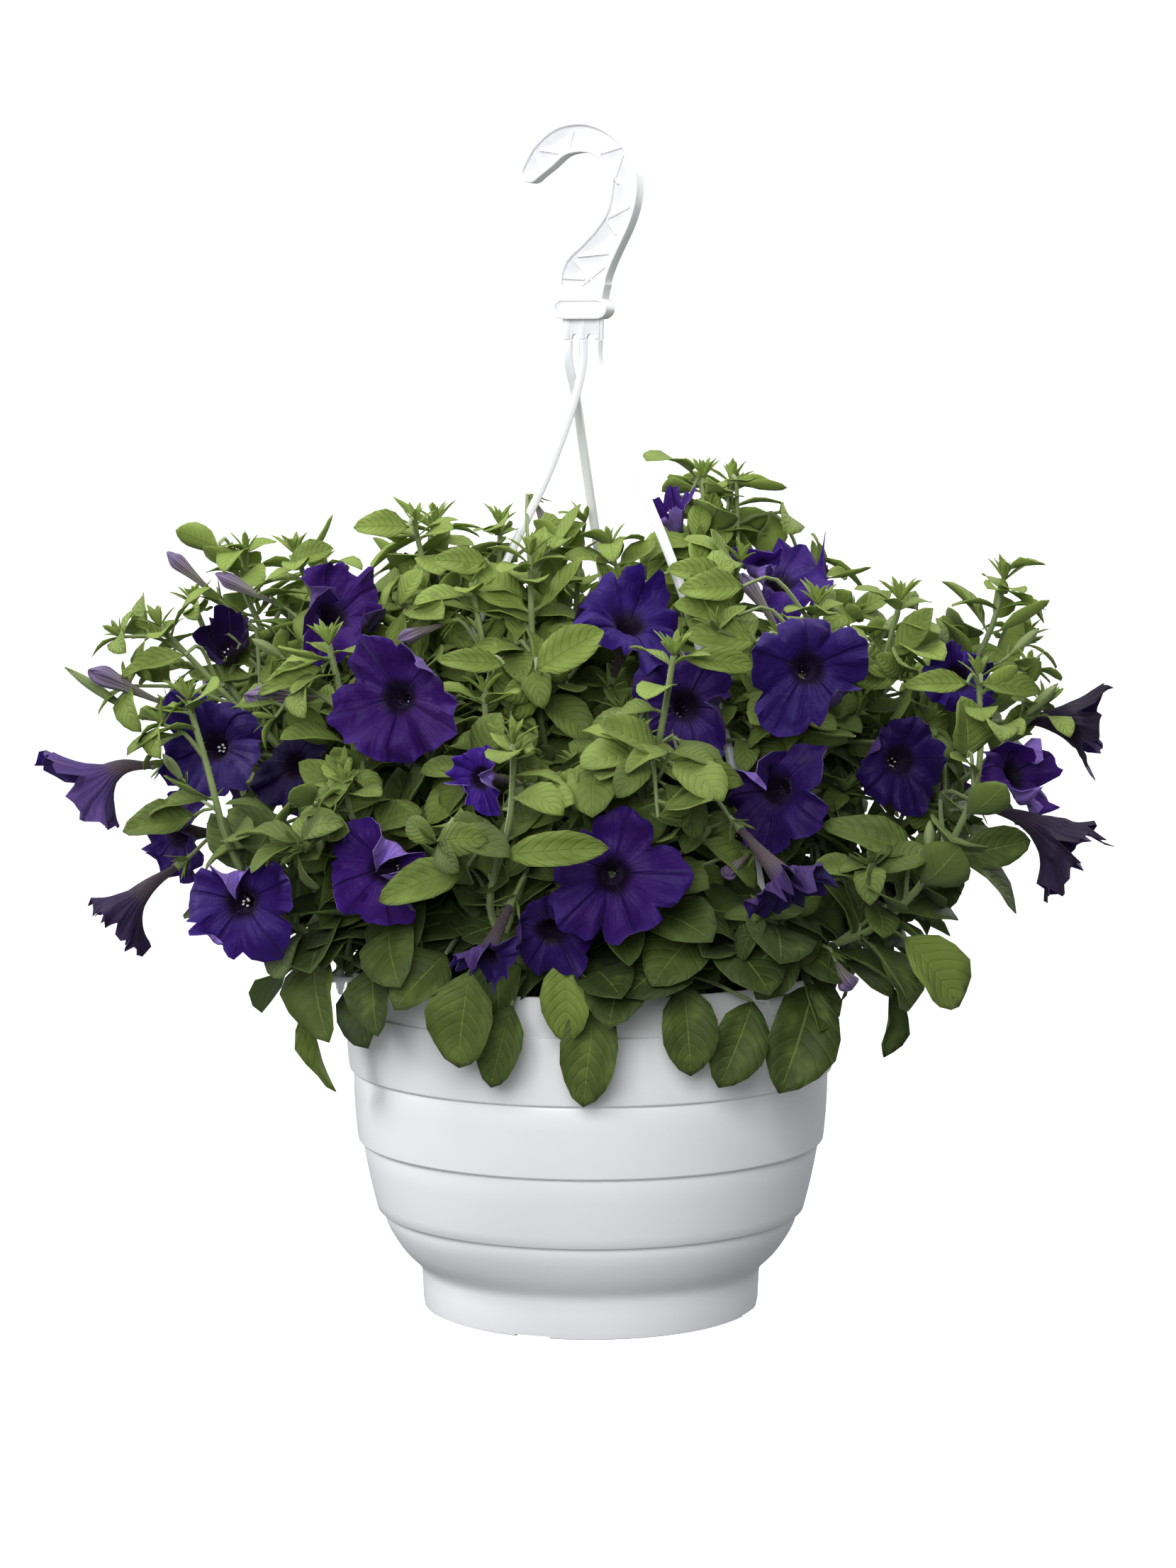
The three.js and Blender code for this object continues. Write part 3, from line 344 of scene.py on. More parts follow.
WILTED_GLOW = (0.3, 0.2, 0.45)
ANTHER_TONES = ((0.030, 0.020, 0.050), (0.74, 0.74, 0.70))
# How many lines a surface shows, along a leaf or round a flower.
SIDE_VEINS = 8.0
FACE_RAYS, BACK_RAYS, BUD_RAYS = 35.0, 25.0, 14.0
LOBES = 5.0


class Value:
    """A number that varies over a surface. Sums on it add the Math nodes that work it out."""

    def __init__(self, paint, socket):
        self.paint = paint
        self.socket = socket

    def math(self, operation, other=None, first=None):
        values = {0: self if first is None else first}
        if other is not None:
            values[1] = other
        return self.paint.node("ShaderNodeMath", values, operation=operation)

    def __add__(self, other):
        return self.math("ADD", other)

    __radd__ = __add__

    def __sub__(self, other):
        return self.math("SUBTRACT", other)

    def __rsub__(self, other):
        return self.math("SUBTRACT", self, first=other)

    def __mul__(self, other):
        return self.math("MULTIPLY", other)

    def __pow__(self, other):
        return self.math("POWER", other)

    def __abs__(self):
        return self.math("ABSOLUTE")

    def fraction(self):
        return self.math("FRACT")

    def comb(self):
        """A row of teeth, one to each unit: 1 at whole numbers, 0 midway between them."""
        return abs(self.fraction() - 0.5) * 2.0

    def step(self, low, high):
        """0 below low, 1 above high, smooth between."""
        values = {"Value": self, "From Min": low, "From Max": high}
        return self.paint.node("ShaderNodeMapRange", values, interpolation_type="SMOOTHSTEP")


class Paint:
    """A material that is built up node by node."""

    def __init__(self, name):
        self.material = bpy.data.materials.new(name)
        self.material.use_nodes = True
        self.tree = self.material.node_tree
        self.tree.nodes.clear()

    def node(self, kind, values=None, output=0, **choices):
        made = self.tree.nodes.new(kind)
        for name, choice in choices.items():
            setattr(made, name, choice)
        for name, value in (values or {}).items():
            self.feed(made.inputs[name], value)
        return Value(self, made.outputs[output])

    def feed(self, socket, value):
        if isinstance(value, Value):
            self.tree.links.new(value.socket, socket)
        elif socket.type == "RGBA" and len(value) == 3:
            socket.default_value = (*value, 1.0)
        else:
            socket.default_value = value

    def place(self):
        return self.node("ShaderNodeTexCoord", output="Object")

    def noise(self, scale, detail):
        inputs = {"Vector": self.place(), "Scale": scale, "Detail": detail}
        return self.node("ShaderNodeTexNoise", inputs)

    def uv(self):
        spot = self.node("ShaderNodeUVMap", uv_map="UVMap")
        split = self.tree.nodes.new("ShaderNodeSeparateXYZ")
        self.tree.links.new(spot.socket, split.inputs[0])
        return Value(self, split.outputs[0]), Value(self, split.outputs[1])

    def tone(self, name="tone"):
        return self.node("ShaderNodeAttribute", output="Fac", attribute_name=name)

    def mix(self, share, first, second, blend="MIX"):
        """The colour first where share is 0, second where it is 1."""
        made = self.tree.nodes.new("ShaderNodeMix")
        made.data_type = "RGBA"
        made.blend_type = blend
        for socket, value in ((0, share), (6, first), (7, second)):
            self.feed(made.inputs[socket], value)
        return Value(self, made.outputs[2])

    def finish(self, base, roughness, bump=None, bump_depth=0.0002, glow=None, glow_share=0.0,
               **constants):
        """Ends in a Principled shader, with some light let through where glow is a colour."""
        shader = self.tree.nodes.new("ShaderNodeBsdfPrincipled")
        self.feed(shader.inputs["Base Color"], base)
        self.feed(shader.inputs["Roughness"], roughness)
        for name, value in constants.items():
            socket = name.replace("_", " ").title().replace("Ior", "IOR")
            self.feed(shader.inputs[socket], value)
        if bump is not None:
            raised = self.node("ShaderNodeBump", {"Height": bump, "Distance": bump_depth})
            self.tree.links.new(raised.socket, shader.inputs["Normal"])
        last = shader.outputs[0]
        if glow is not None:
            through = self.tree.nodes.new("ShaderNodeBsdfTranslucent")
            self.feed(through.inputs["Color"], glow)
            both = self.tree.nodes.new("ShaderNodeMixShader")
            both.inputs[0].default_value = glow_share
            self.tree.links.new(last, both.inputs[1])
            self.tree.links.new(through.outputs[0], both.inputs[2])
            last = both.outputs[0]
        out = self.tree.nodes.new("ShaderNodeOutputMaterial")
        self.tree.links.new(last, out.inputs[0])
        return self.material


def tinted(shade, factor):
    return tuple(min(1.0, channel * factor) for channel in shade)


def white_plastic():
    """Semi-gloss moulded plastic with a faint unevenness and a fine moulded grain."""
    paint = Paint("white_plastic")
    white = tuple(settings().pot.white)
    cloud = paint.noise(14.0, 3.0)
    base = paint.mix(cloud.step(0.35, 0.75) * 0.35, white, tinted(white, 0.94))
    dull = paint.noise(60.0, 4.0)
    grain = paint.noise(2600.0, 2.0) * 0.25 + paint.noise(90.0, 2.0)
    return paint.finish(base, 0.30 + dull * 0.10, bump=grain, bump_depth=0.00008, ior=1.49)


def soil_paint():
    paint = Paint("moist_soil")
    dark = tuple(settings().pot.soil)
    lump = paint.noise(190.0, 8.0)
    base = paint.mix(lump.step(0.42, 0.72), dark, tinted(dark, 3.2))
    fibre = paint.noise(900.0, 3.0)
    return paint.finish(base, 0.85 + fibre * 0.12, bump=lump + fibre * 0.5, bump_depth=0.0012)


def perlite_paint():
    paint = Paint("perlite")
    speck = paint.noise(1500.0, 3.0)
    base = paint.mix(speck, *PERLITE_TONES)
    return paint.finish(base, 0.8, bump=speck, bump_depth=0.0003)


def leaf_veins(paint):
    """The share of midrib and of side veins at each spot of a leaf, from its UV map."""
    along, across = paint.uv()
    side = abs(across - 0.5) * 2.0
    midrib = 1.0 - side.step(0.012, 0.055)
    swept = along - (side ** 1.35) * 0.26
    comb = (swept * SIDE_VEINS).comb()
    veins = comb.step(0.84, 0.99) * (1.0 - side.step(0.55, 1.0)) * along.step(0.05, 0.2)
    return midrib, veins, comb


def leaf_face():
    """Upper side of a leaf: brighter when young and higher up, partly as painted light from above,
    darker deep inside the plant as painted shade, with a pale midrib and faint side veins.
    """
    paint = Paint("leaf_face")
    plant = settings().plant
    midrib, veins, comb = leaf_veins(paint)
    blotch = paint.noise(70.0, 4.0)
    age = (paint.tone() + (blotch - 0.5) * 0.35).step(0.0, 1.0)
    flesh = paint.mix(age, tuple(plant.old_and_shaded_leaf), tuple(plant.young_leaf))
    flesh = paint.mix(blotch.step(0.50, 0.72) * 0.18, flesh, tinted(plant.young_leaf, 1.15))
    base = paint.mix(midrib * 0.26 + veins * 0.07, flesh, tinted(plant.young_leaf, 1.4))
    pucker = paint.noise(420.0, 3.0)
    height = (1.0 - comb ** 4.0) * 0.8 - midrib * 0.9 + pucker * 0.35
    return paint.finish(base, 0.52 + blotch * 0.16, bump=height, bump_depth=0.0004,
                        glow=tinted(plant.young_leaf, 1.8), glow_share=0.12,
                        sheen_weight=0.03, sheen_roughness=0.5, specular_ior_level=0.24)


def leaf_back():
    """Underside of a leaf: paler and duller, its veins raised."""
    paint = Paint("leaf_back")
    plant = settings().plant
    midrib, veins, _ = leaf_veins(paint)
    blotch = paint.noise(90.0, 3.0)
    age = (paint.tone() * 0.8 + blotch * 0.2).step(0.0, 1.0)
    flesh = paint.mix(age, tinted(plant.old_and_shaded_leaf, 2.1), tinted(plant.young_leaf, 1.15))
    base = paint.mix(midrib * 0.7 + veins * 0.35, flesh, tinted(plant.stem_green, 1.25))
    height = midrib + veins * 0.5 + blotch * 0.2
    return paint.finish(base, 0.68, bump=height, bump_depth=0.0003,
                        glow=tinted(plant.young_leaf, 1.6), glow_share=0.12,
                        sheen_weight=0.08, specular_ior_level=0.2)


def stem_paint():
    paint = Paint("green_stem")
    green = tuple(settings().plant.stem_green)
    patch = paint.noise(45.0, 4.0)
    base = paint.mix(patch.step(0.35, 0.75), tinted(green, 0.72), tinted(green, 1.12))
    grain = paint.noise(1300.0, 3.0)
    return paint.finish(base, 0.55 + patch * 0.1, bump=grain, bump_depth=0.0002,
                        sheen_weight=0.3, sheen_roughness=0.4)


def hair_paint():
    paint = Paint("plant_hair")
    patch = paint.noise(50.0, 1.0)
    base = paint.mix(patch, *HAIR_TONES)
    return paint.finish(base, 0.45, glow=HAIR_GLOW, glow_share=0.35)


def petal_face():
    """Velvety inside of a flower: near black in the throat, violet-blue on the lobes, with a
    painted highlight along their rim, each flower's face made darker or lighter as painted light
    and shade.
    """
    paint = Paint("petal_face")
    plant = settings().plant
    around, out = paint.uv()
    petal = tuple(plant.petal)
    warm = (petal[0] * 1.6, petal[1] * 1.2, petal[2] * 0.92)
    patch = paint.noise(38.0, 3.0)
    velvet = paint.mix((patch * 0.5 + paint.tone() * 0.6).step(0.3, 0.9), petal, warm)
    # Painted highlight: the lobes' outer rim is lightened.
    velvet = paint.mix(out.step(0.90, 1.0) * 0.30, velvet, tinted(petal, 1.8))
    wander = (paint.noise(120.0, 2.0) - 0.5) * 0.5
    rays = (around * FACE_RAYS + wander).comb()
    lines = rays.step(0.70, 1.0) * (1.0 - out.step(0.75, 1.0) * 0.6)
    velvet = paint.mix(lines * 0.16, velvet, tinted(petal, 0.35))
    lobe = (around * LOBES).comb()
    middle = lobe.step(0.90, 1.0)
    velvet = paint.mix(middle * 0.35, velvet, tinted(petal, 0.4))
    # Painted light and shade: the face is multiplied by the flower's own lightness, darker where
    # it lies in shadow.
    velvet = paint.mix(1.0, velvet, paint.tone("face"), blend="MULTIPLY")
    base = paint.mix(out.step(0.46, 0.62), tuple(plant.throat), velvet)
    crease = paint.noise(230.0, 3.0) + paint.noise(95.0, 2.0) * 1.6
    height = crease * 0.8 - lines * 0.12 - middle * 0.8
    return paint.finish(base, 0.56 + patch * 0.12, bump=height, bump_depth=0.0011,
                        glow=PETAL_GLOW, glow_share=0.10, sheen_weight=0.10,
                        sheen_roughness=0.4, sheen_tint=PETAL_SHEEN,
                        specular_ior_level=0.20)


def petal_back():
    """Outside of a flower: lilac and veined, brownish purple along the tube, each flower's outside
    running from near black, as painted shade, to pale lilac, as painted light.
    """
    paint = Paint("petal_back")
    plant = settings().plant
    around, out = paint.uv()
    lilac = tuple(plant.petal_back)
    patch = paint.noise(45.0, 3.0)
    # Painted light and shade: each flower's outside runs from near black where it lies in shadow,
    # through its lilac, to pale lilac where light falls on it; its tube is darkened in shadow too.
    light = paint.tone("back")
    dark = paint.mix(light.step(0.0, 0.6), SHADED_LIMB, tinted(lilac, 0.85))
    limb = paint.mix(light.step(0.5, 1.0), dark, LIT_LIMB)
    limb = paint.mix(patch.step(0.35, 0.7), limb, LIMB_PATCH, blend="MULTIPLY")
    tube = paint.mix(patch, *TUBE_BROWNS)
    tube = paint.mix(light.step(0.0, 0.4), tinted(SHADED_LIMB, 1.6), tube)
    skin = paint.mix(out.step(0.30, 0.60), tube, limb)
    wander = (paint.noise(120.0, 2.0) - 0.5) * 0.4
    rays = (around * BACK_RAYS + wander).comb()
    base = paint.mix(rays.step(0.72, 1.0) * 0.40, skin, BACK_VEIN)
    crease = paint.noise(300.0, 3.0)
    return paint.finish(base, 0.66, bump=rays * 0.35 + crease * 0.7, bump_depth=0.0008,
                        glow=BACK_GLOW, glow_share=0.08, sheen_weight=0.04,
                        specular_ior_level=0.25)


def wilted_paint():
    """Petals that haven't opened or are over: greyish lilac with dark folds."""
    paint = Paint("closed_petal")
    around, out = paint.uv()
    patch = paint.noise(160.0, 4.0)
    rays = (around * BUD_RAYS + out * 1.2).comb()
    skin = paint.mix(out.step(0.25, 0.75), *WILTED_SKIN)
    base = paint.mix(rays.step(0.45, 0.95) * 0.75, skin, WILTED_FOLD)
    return paint.finish(base, 0.7, bump=rays * 0.7 + patch * 0.4, bump_depth=0.0005,
                        glow=WILTED_GLOW, glow_share=0.08, sheen_weight=0.15)


def stamen_paint():
    paint = Paint("stamen")
    patch = paint.noise(800.0, 2.0)
    base = paint.mix(paint.tone(), *ANTHER_TONES)
    base = paint.mix(patch * 0.3, base, settings().plant.petal_back)
    return paint.finish(base, 0.6, bump=patch, bump_depth=0.0002)


def studio_floor():
    """A pale floor and walls that glow a little, so that they stay white under soft light."""
    paint = Paint("studio_floor")
    pale = tuple(settings().stage.floor)
    cloud = paint.noise(0.8, 2.0)
    base = paint.mix(cloud, pale, tinted(pale, 0.985))
    return paint.finish(base, 0.9, emission_color=PURE_WHITE,
                        emission_strength=settings().stage.glow)


PAINTERS = dict(white=white_plastic, soil=soil_paint, perlite=perlite_paint, leaf=leaf_face,
                leaf_back=leaf_back, stem=stem_paint, hair=hair_paint, petal=petal_face,
                petal_back=petal_back, wilted=wilted_paint, stamen=stamen_paint,
                floor=studio_floor)
PAINTED = {}


def painted(name):
    """The material of that name, made the first time that it is asked for."""
    if name not in PAINTED:
        PAINTED[name] = PAINTERS[name]()
    return PAINTED[name]


# --- Modelling by hand: primitives, edit mode and modifiers ---

def select_only(*pieces):
    if bpy.context.object and bpy.context.object.mode != "OBJECT":
        bpy.ops.object.mode_set(mode="OBJECT")
    bpy.ops.object.select_all(action="DESELECT")
    for piece in pieces:
        piece.select_set(True)
    if pieces:
        bpy.context.view_layer.objects.active = pieces[0]


def named(name):
    """The primitive that was just added, under its own name."""
    piece = bpy.context.object
    piece.name = name
    piece.data.name = name
    return piece


def modify(piece, kind, **choices):
    """Adds a modifier and applies it."""
    select_only(piece)
    modifier = piece.modifiers.new(kind.title(), kind)
    for name, choice in choices.items():
        setattr(modifier, name, choice)
    bpy.ops.object.modifier_apply(modifier=modifier.name)
    return piece


@contextmanager
def editing(piece):
    """Edit mode, with all of the piece selected."""
    select_only(piece)
    bpy.ops.object.mode_set(mode="EDIT")
    bpy.ops.mesh.select_all(action="SELECT")
    yield
    bpy.ops.object.mode_set(mode="OBJECT")


def weld(piece, gap=1e-6):
    """Joins points that meet and turns all faces outward."""
    with editing(piece):
        bpy.ops.mesh.remove_doubles(threshold=gap)
        bpy.ops.mesh.normals_make_consistent(inside=False)
    return piece


def linked(name, data):
    """A new object in the scene that holds the data."""
    made = bpy.data.objects.new(name, data)
    bpy.context.scene.collection.objects.link(made)
    return made


def coat(piece, *names):
    """Adds the materials of those names, in the order of the piece's material slots."""
    for name in names:
        piece.data.materials.append(painted(name))
    return piece


def clamp(value, low=0.0, high=1.0):
    return max(low, min(high, value))


def polar(radius, angle, z):
    return Vector((radius * math.cos(angle), radius * math.sin(angle), z))


def spoke(way, turn):
    """A unit vector square to a way, turned about it."""
    out = way.orthogonal().normalized()
    out.rotate(Quaternion(way, turn))
    return out


def join(first, *others):
    select_only(first, *others)
    bpy.ops.object.join()
    return first


def cut(piece, *cutters):
    """Cuts closed shapes out of a piece, one by one."""
    for cutter in cutters:
        modify(piece, "BOOLEAN", operation="DIFFERENCE", solver="EXACT", object=cutter)
        bpy.data.objects.remove(cutter)
    return piece


def smooth(piece, degrees=30):
    select_only(piece)
    bpy.ops.object.shade_smooth_by_angle(angle=math.radians(degrees))
    return piece


def tube_blank(name, sides, rings):
    """A tube of unit radius with one ring to each unit of height, for reshape to work on."""
    select_only()
    bpy.ops.mesh.primitive_circle_add(vertices=sides, radius=1.0, fill_type="NOTHING")
    piece = named(name)
    with editing(piece):
        for _ in range(rings - 1):
            bpy.ops.mesh.extrude_region_move(TRANSFORM_OT_translate={"value": (0, 0, 1)})
    layer = uv_map(piece)
    for face in piece.data.polygons:
        middle = share_round(face.center)
        for loop in face.loop_indices:
            corner = piece.data.vertices[piece.data.loops[loop].vertex_index].co
            away = (share_round(corner) - middle + 0.5) % 1.0 - 0.5
            layer.data[loop].uv = (middle + away, corner.z / (rings - 1))
    return piece


def uv_map(piece):
    """The piece's UV map, under the name that the materials ask for."""
    layer = piece.data.uv_layers[0] if piece.data.uv_layers else piece.data.uv_layers.new()
    layer.name = "UVMap"
    return layer


def share_round(point):
    return math.atan2(point.y, point.x) / math.tau % 1.0


def reshape(piece, place):
    """Moves each vertex of a blank to place(share of the way round, number of its ring)."""
    for vertex in piece.data.vertices:
        vertex.co = place(share_round(vertex.co), round(vertex.co.z))
    piece.data.update()
    return piece


def turned(name, sides, profile):
    """A body turned about the axis from a profile of (radius, z), closed at both ends."""
    def place(share, ring):
        radius, z = profile[ring]
        return polar(radius, math.tau * share, z)
    return weld(reshape(tube_blank(name, sides, len(profile)), place))


def finish_piece(piece, slot, replaced, *paints, axis=AXIS_X):
    """Paints a piece that was made about the pot's axis, puts that axis in its place, hangs the
    piece on the basket's body and hides the frame's nodes that it stands for."""
    piece.data.transform(Matrix.Translation((axis, 0, 0)))
    if paints:
        piece.data.materials.clear()
        coat(piece, *paints)
    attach(piece, BODY)
    if replaced:
        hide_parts(*replaced)
    return piece


class Shape:
    """A shape that was modelled once, kept to be copied."""

    def __init__(self, piece):
        mesh = piece.data
        self.points = [vertex.co.copy() for vertex in mesh.vertices]
        self.faces = [tuple(face.vertices) for face in mesh.polygons]
        self.slots = [face.material_index for face in mesh.polygons]
        layer = mesh.uv_layers[0].data if mesh.uv_layers else None
        self.uvs = [tuple(spot.uv) for spot in layer] if layer else (
            [(0.0, 0.0)] * sum(len(face) for face in self.faces))
        bpy.data.objects.remove(piece)


class Cluster:
    """Copies of shapes, gathered into the mesh of one piece."""

    def __init__(self):
        self.points, self.faces, self.slots, self.uvs, self.tones = [], [], [], [], []

    def add(self, shape, matrix, tone=0.5, slot=0):
        first = len(self.points)
        self.points.extend(matrix @ point for point in shape.points)
        self.faces.extend(tuple(first + corner for corner in face) for face in shape.faces)
        self.slots.extend(slot + own for own in shape.slots)
        self.uvs.extend(shape.uvs)
        self.tones.extend([tone] * len(shape.points))

    def build(self, name):
        mesh = bpy.data.meshes.new(name)
        mesh.from_pydata([tuple(point) for point in self.points], [], self.faces)
        mesh.polygons.foreach_set("material_index", self.slots)
        mesh.polygons.foreach_set("use_smooth", [True] * len(self.faces))
        layer = mesh.uv_layers.new(name="UVMap")
        layer.data.foreach_set("uv", [value for spot in self.uvs for value in spot])
        tone = mesh.attributes.new("tone", "FLOAT", "POINT")
        tone.data.foreach_set("value", self.tones)
        mesh.update()
        return linked(name, mesh)


# --- Lines that stems, stalks and straps follow ---

def above_rim(point):
    x, y, height = point
    return Vector((x * MM, y * MM, RIM_Z + height * MM))


class Route:
    """A smooth line through points, centripetal as in the construction."""

    STEPS = 200

    def __init__(self, points):
        spots = [Vector(point) for point in points]
        self.ends = [2 * spots[0] - spots[1], *spots, 2 * spots[-1] - spots[-2]]
        self.table = [self.at(k / self.STEPS) for k in range(self.STEPS + 1)]
        self.lengths = [0.0]
        for a, b in zip(self.table, self.table[1:]):
            self.lengths.append(self.lengths[-1] + (b - a).length)
        self.length = self.lengths[-1]

    def at(self, share):
        count = len(self.ends) - 3
        k = min(int(share * count), count - 1)
        rest = share * count - k
        a, b, c, d = self.ends[k:k + 4]
        ab, bc, cd = (max(1e-6, (q - p).length ** 0.5) for p, q in ((a, b), (b, c), (c, d)))
        out = ((b - a) / ab - (c - a) / (ab + bc) + (c - b) / bc) * bc
        into = ((c - b) / bc - (d - b) / (bc + cd) + (d - c) / cd) * bc
        cube = 2 * (b - c) + out + into
        square = 3 * (c - b) - 2 * out - into
        return b + rest * (out + rest * (square + rest * cube))

    def point(self, share):
        """The point at a share of the line's length."""
        goal = clamp(share) * self.length
        low, high = 0, self.STEPS
        while high - low > 1:
            middle = (low + high) // 2
            low, high = (middle, high) if self.lengths[middle] <= goal else (low, middle)
        span = self.lengths[high] - self.lengths[low]
        rest = (goal - self.lengths[low]) / span if span else 0.0
        return self.at((low + rest) / self.STEPS)

    def way(self, share):
        ahead, behind = min(1.0, share + 0.004), max(0.0, share - 0.004)
        return (self.point(ahead) - self.point(behind)).normalized()


def facing_way(facing):
    """The way a flower faces, from its turn from the front and its lift above level."""
    turn, lift = (math.radians(angle) for angle in facing)
    return Vector((math.sin(turn) * math.cos(lift), -math.cos(turn) * math.cos(lift),
                   math.sin(lift)))


CALYX = 9 * MM
GAP = 0.3 * MM
MOUTH_ROOM = 26 * MM  # how far in front of a flower nothing else may stand
TUBE_ROOM = 6 * MM
SIGHT_ROOM = 110 * MM  # how far in front of it nothing may hide it from the camera


class Bloom:
    """One flower of the layout, in metres."""

    def __init__(self, shoot, row):
        self.shoot = shoot
        self.share, face, facing, radius, length, self.form = row
        self.face = above_rim(face)
        self.way = facing_way(facing)
        self.radius = radius * MM
        self.length = length * MM
        self.base = self.face - self.way * self.length

    def holds(self, point):
        """Whether something at the point would stand in the flower."""
        offset = point - self.face
        ahead = offset.dot(self.way)
        aside = (offset - self.way * ahead).length
        if -0.30 * self.length < ahead < MOUTH_ROOM and aside < self.radius * 0.98:
            return True
        wide = TUBE_ROOM + (self.radius * 0.5) * (1 + ahead / self.length) ** 3
        return -self.length < ahead <= 0 and aside < wide

    def hides(self, point, camera):
        """Whether something at the point would stand in the flower or in front of it."""
        if self.holds(point):
            return True
        offset = point - self.face
        sight = (camera - self.face).normalized()
        if self.way.dot(sight) < 0.35:
            return False
        near = offset.dot(sight)
        return 0 < near < SIGHT_ROOM and (offset - sight * near).length < self.radius * 0.66


def stem_routes(number):
    """The routes of a shoot's stem and of its fork."""
    plan = SHOOTS[number]
    x, y, _ = plan["path"][0]
    base = Vector((x, y, 0)).normalized() * plan["root"] * MM
    base.z = SOIL_Z + 0.6 * MM
    rise = base + Vector((0, 0, 12 * MM))
    main = Route([base, rise, *(above_rim(p) for p in plan["path"])])
    if "fork" not in plan:
        return [main]
    share, path = plan["fork"]
    return [main, Route([main.point(share), *(above_rim(p) for p in path)])]


def stalk_route(stem, bloom):
    start = stem.point(bloom.share)
    end = bloom.base - bloom.way * (CALYX + GAP)
    reach = min(14 * MM, 0.4 * (end - start).length)
    return Route([start, end - bloom.way * reach, end])


def all_blooms():
    return [Bloom(number, row) for number, plan in enumerate(SHOOTS)
            for row in plan.get("blooms", [])]


# --- Pot and soil ---

# The pot's outside as (radius, depth below the rim), from the foot up: foot, rounded bowl,
# three bands that each overhang the one below by a small lip, and a collar.
POT_OUTSIDE = [
    (84.6, 178), (85.9, 177.4), (86.5, 174), (86.9, 165), (87.2, 159.4), (87.9, 156.8),
    (89.9, 154.2), (92.6, 151.8), (96.0, 148.4), (98.9, 144.7), (101.4, 140.9), (103.6, 137.2),
    (105.4, 133.4), (106.6, 129.2), (106.5, 128.2), (106.6, 127.2), (109.2, 126.9), (109.9, 126.2),
    (111.2, 121.4), (113.4, 112.4), (115.3, 103.2), (117.1, 93.4), (116.9, 92.0), (117.0, 90.8),
    (119.2, 90.5), (119.8, 89.8), (120.3, 86.2), (121.2, 76), (121.7, 66), (121.9, 55.6),
    (121.5, 54.6), (121.6, 54.0), (123.4, 53.7), (124.0, 53.0), (124.6, 49.4), (125.3, 40),
    (126.0, 30), (126.6, 20.9), (126.4, 19.9), (125.0, 19.5), (125.3, 18.6), (125.3, 10),
    (125.3, 1.2), (124.9, 0.3), (124.2, 0),
]
POT_INSIDE = [
    (123.6, 0.4), (123.4, 2), (123.2, 20), (121.6, 48), (119.2, 55), (117.4, 86), (114.6, 93),
    (109.0, 120.5), (104.0, 128.5), (98.0, 138), (84.0, 160.5), (0.0, 160.5),
]
POT_UNDERSIDE = [(0.0, 162.5), (82.4, 162.5), (82.4, 178)]
FLOOR_MIDDLE = 161.5  # depth of the middle of the pot's floor
HOLES, HOLE_RADIUS, HOLE_RING = 6, 3.5 * MM, 58 * MM
NOTCHES, NOTCH_SIZE, NOTCH_RING, FIRST_NOTCH = 4, (12 * MM, 18 * MM, 2.2 * MM), 84.6 * MM, 70
EAR_INNER, EAR_DROP, EAR_THICK = 124.2 * MM, 4.3 * MM, 2.6 * MM
EAR_SLOT = (4.8 * MM, 5.2 * MM, 12 * MM)
SOIL_DEPTH = 13  # how far the soil lies below the rim
SOIL_FLOOR, SOIL_GAP = 160.2, 0.6  # depth of its underside, and the gap to the pot's wall
SOIL_RADIUS = 122.7
CRUMB_RING = 119 * MM  # the crumbs lie inside this radius
CRUMB_SIZES = (0.9, 2.9)
PERLITE_STEP = 11  # one crumb in so many is a grain of perlite
STRAP_RADIUS = 130.4
STRAP_ANGLES = {"strap_left": 193, "strap_rear": 73, "strap_right": -47}
STRAP_STARTS = {"strap_left": 0, "strap_rear": -8.2, "strap_right": 8.2}
# Each strap's bow, as (distance from the pot's axis, z)
STRAP_BOWS = {
    "strap_left": [(4, -122), (18, -159), (41, -205), (63, -249), (98, -315), (119, -364)],
    "strap_rear": [(9, -120), (23, -157), (41, -203), (65, -252), (98, -316), (119, -364)],
    "strap_right": [(8, -118), (26, -155), (56, -204), (79, -250), (106, -316), (122, -364)],
}
STRAP_ENDS = [(129, -397), (130.4, -413), (130.4, -421)]


def in_metres(profile):
    return [(radius * MM, RIM_Z - depth * MM) for radius, depth in profile]


def block(name, size, centre, angle=0.0, edge=0.0):
    """A box with its edges rounded, stood at its place and turned about the basket's axis."""
    select_only()
    bpy.ops.mesh.primitive_cube_add(size=1.0)
    piece = named(name)
    turn = Matrix.Rotation(angle, 4, "Z") @ Matrix.Translation(centre)
    piece.data.transform(turn @ Matrix.Diagonal((*size, 1.0)))
    if edge:
        modify(piece, "BEVEL", width=edge, segments=3, limit_method="ANGLE")
    return piece


def peg(name, radius, height, centre, angle):
    select_only()
    bpy.ops.mesh.primitive_cylinder_add(vertices=24, radius=radius, depth=height)
    piece = named(name)
    piece.data.transform(Matrix.Rotation(angle, 4, "Z") @ Matrix.Translation(centre))
    return piece


def ear(angle):
    """The lug on the rim that a strap's end clips through."""
    reach, width = settings().pot.ear_reach, settings().pot.ear_width
    middle = Vector(((reach + EAR_INNER) / 2, 0, RIM_Z - EAR_DROP))
    size = (reach - EAR_INNER, width, EAR_THICK)
    lug = block("ear", size, middle, angle, 0.5 * MM)
    slot = Vector((STRAP_RADIUS * MM, 0, middle.z))
    return cut(lug, block("slot", EAR_SLOT, slot, angle))


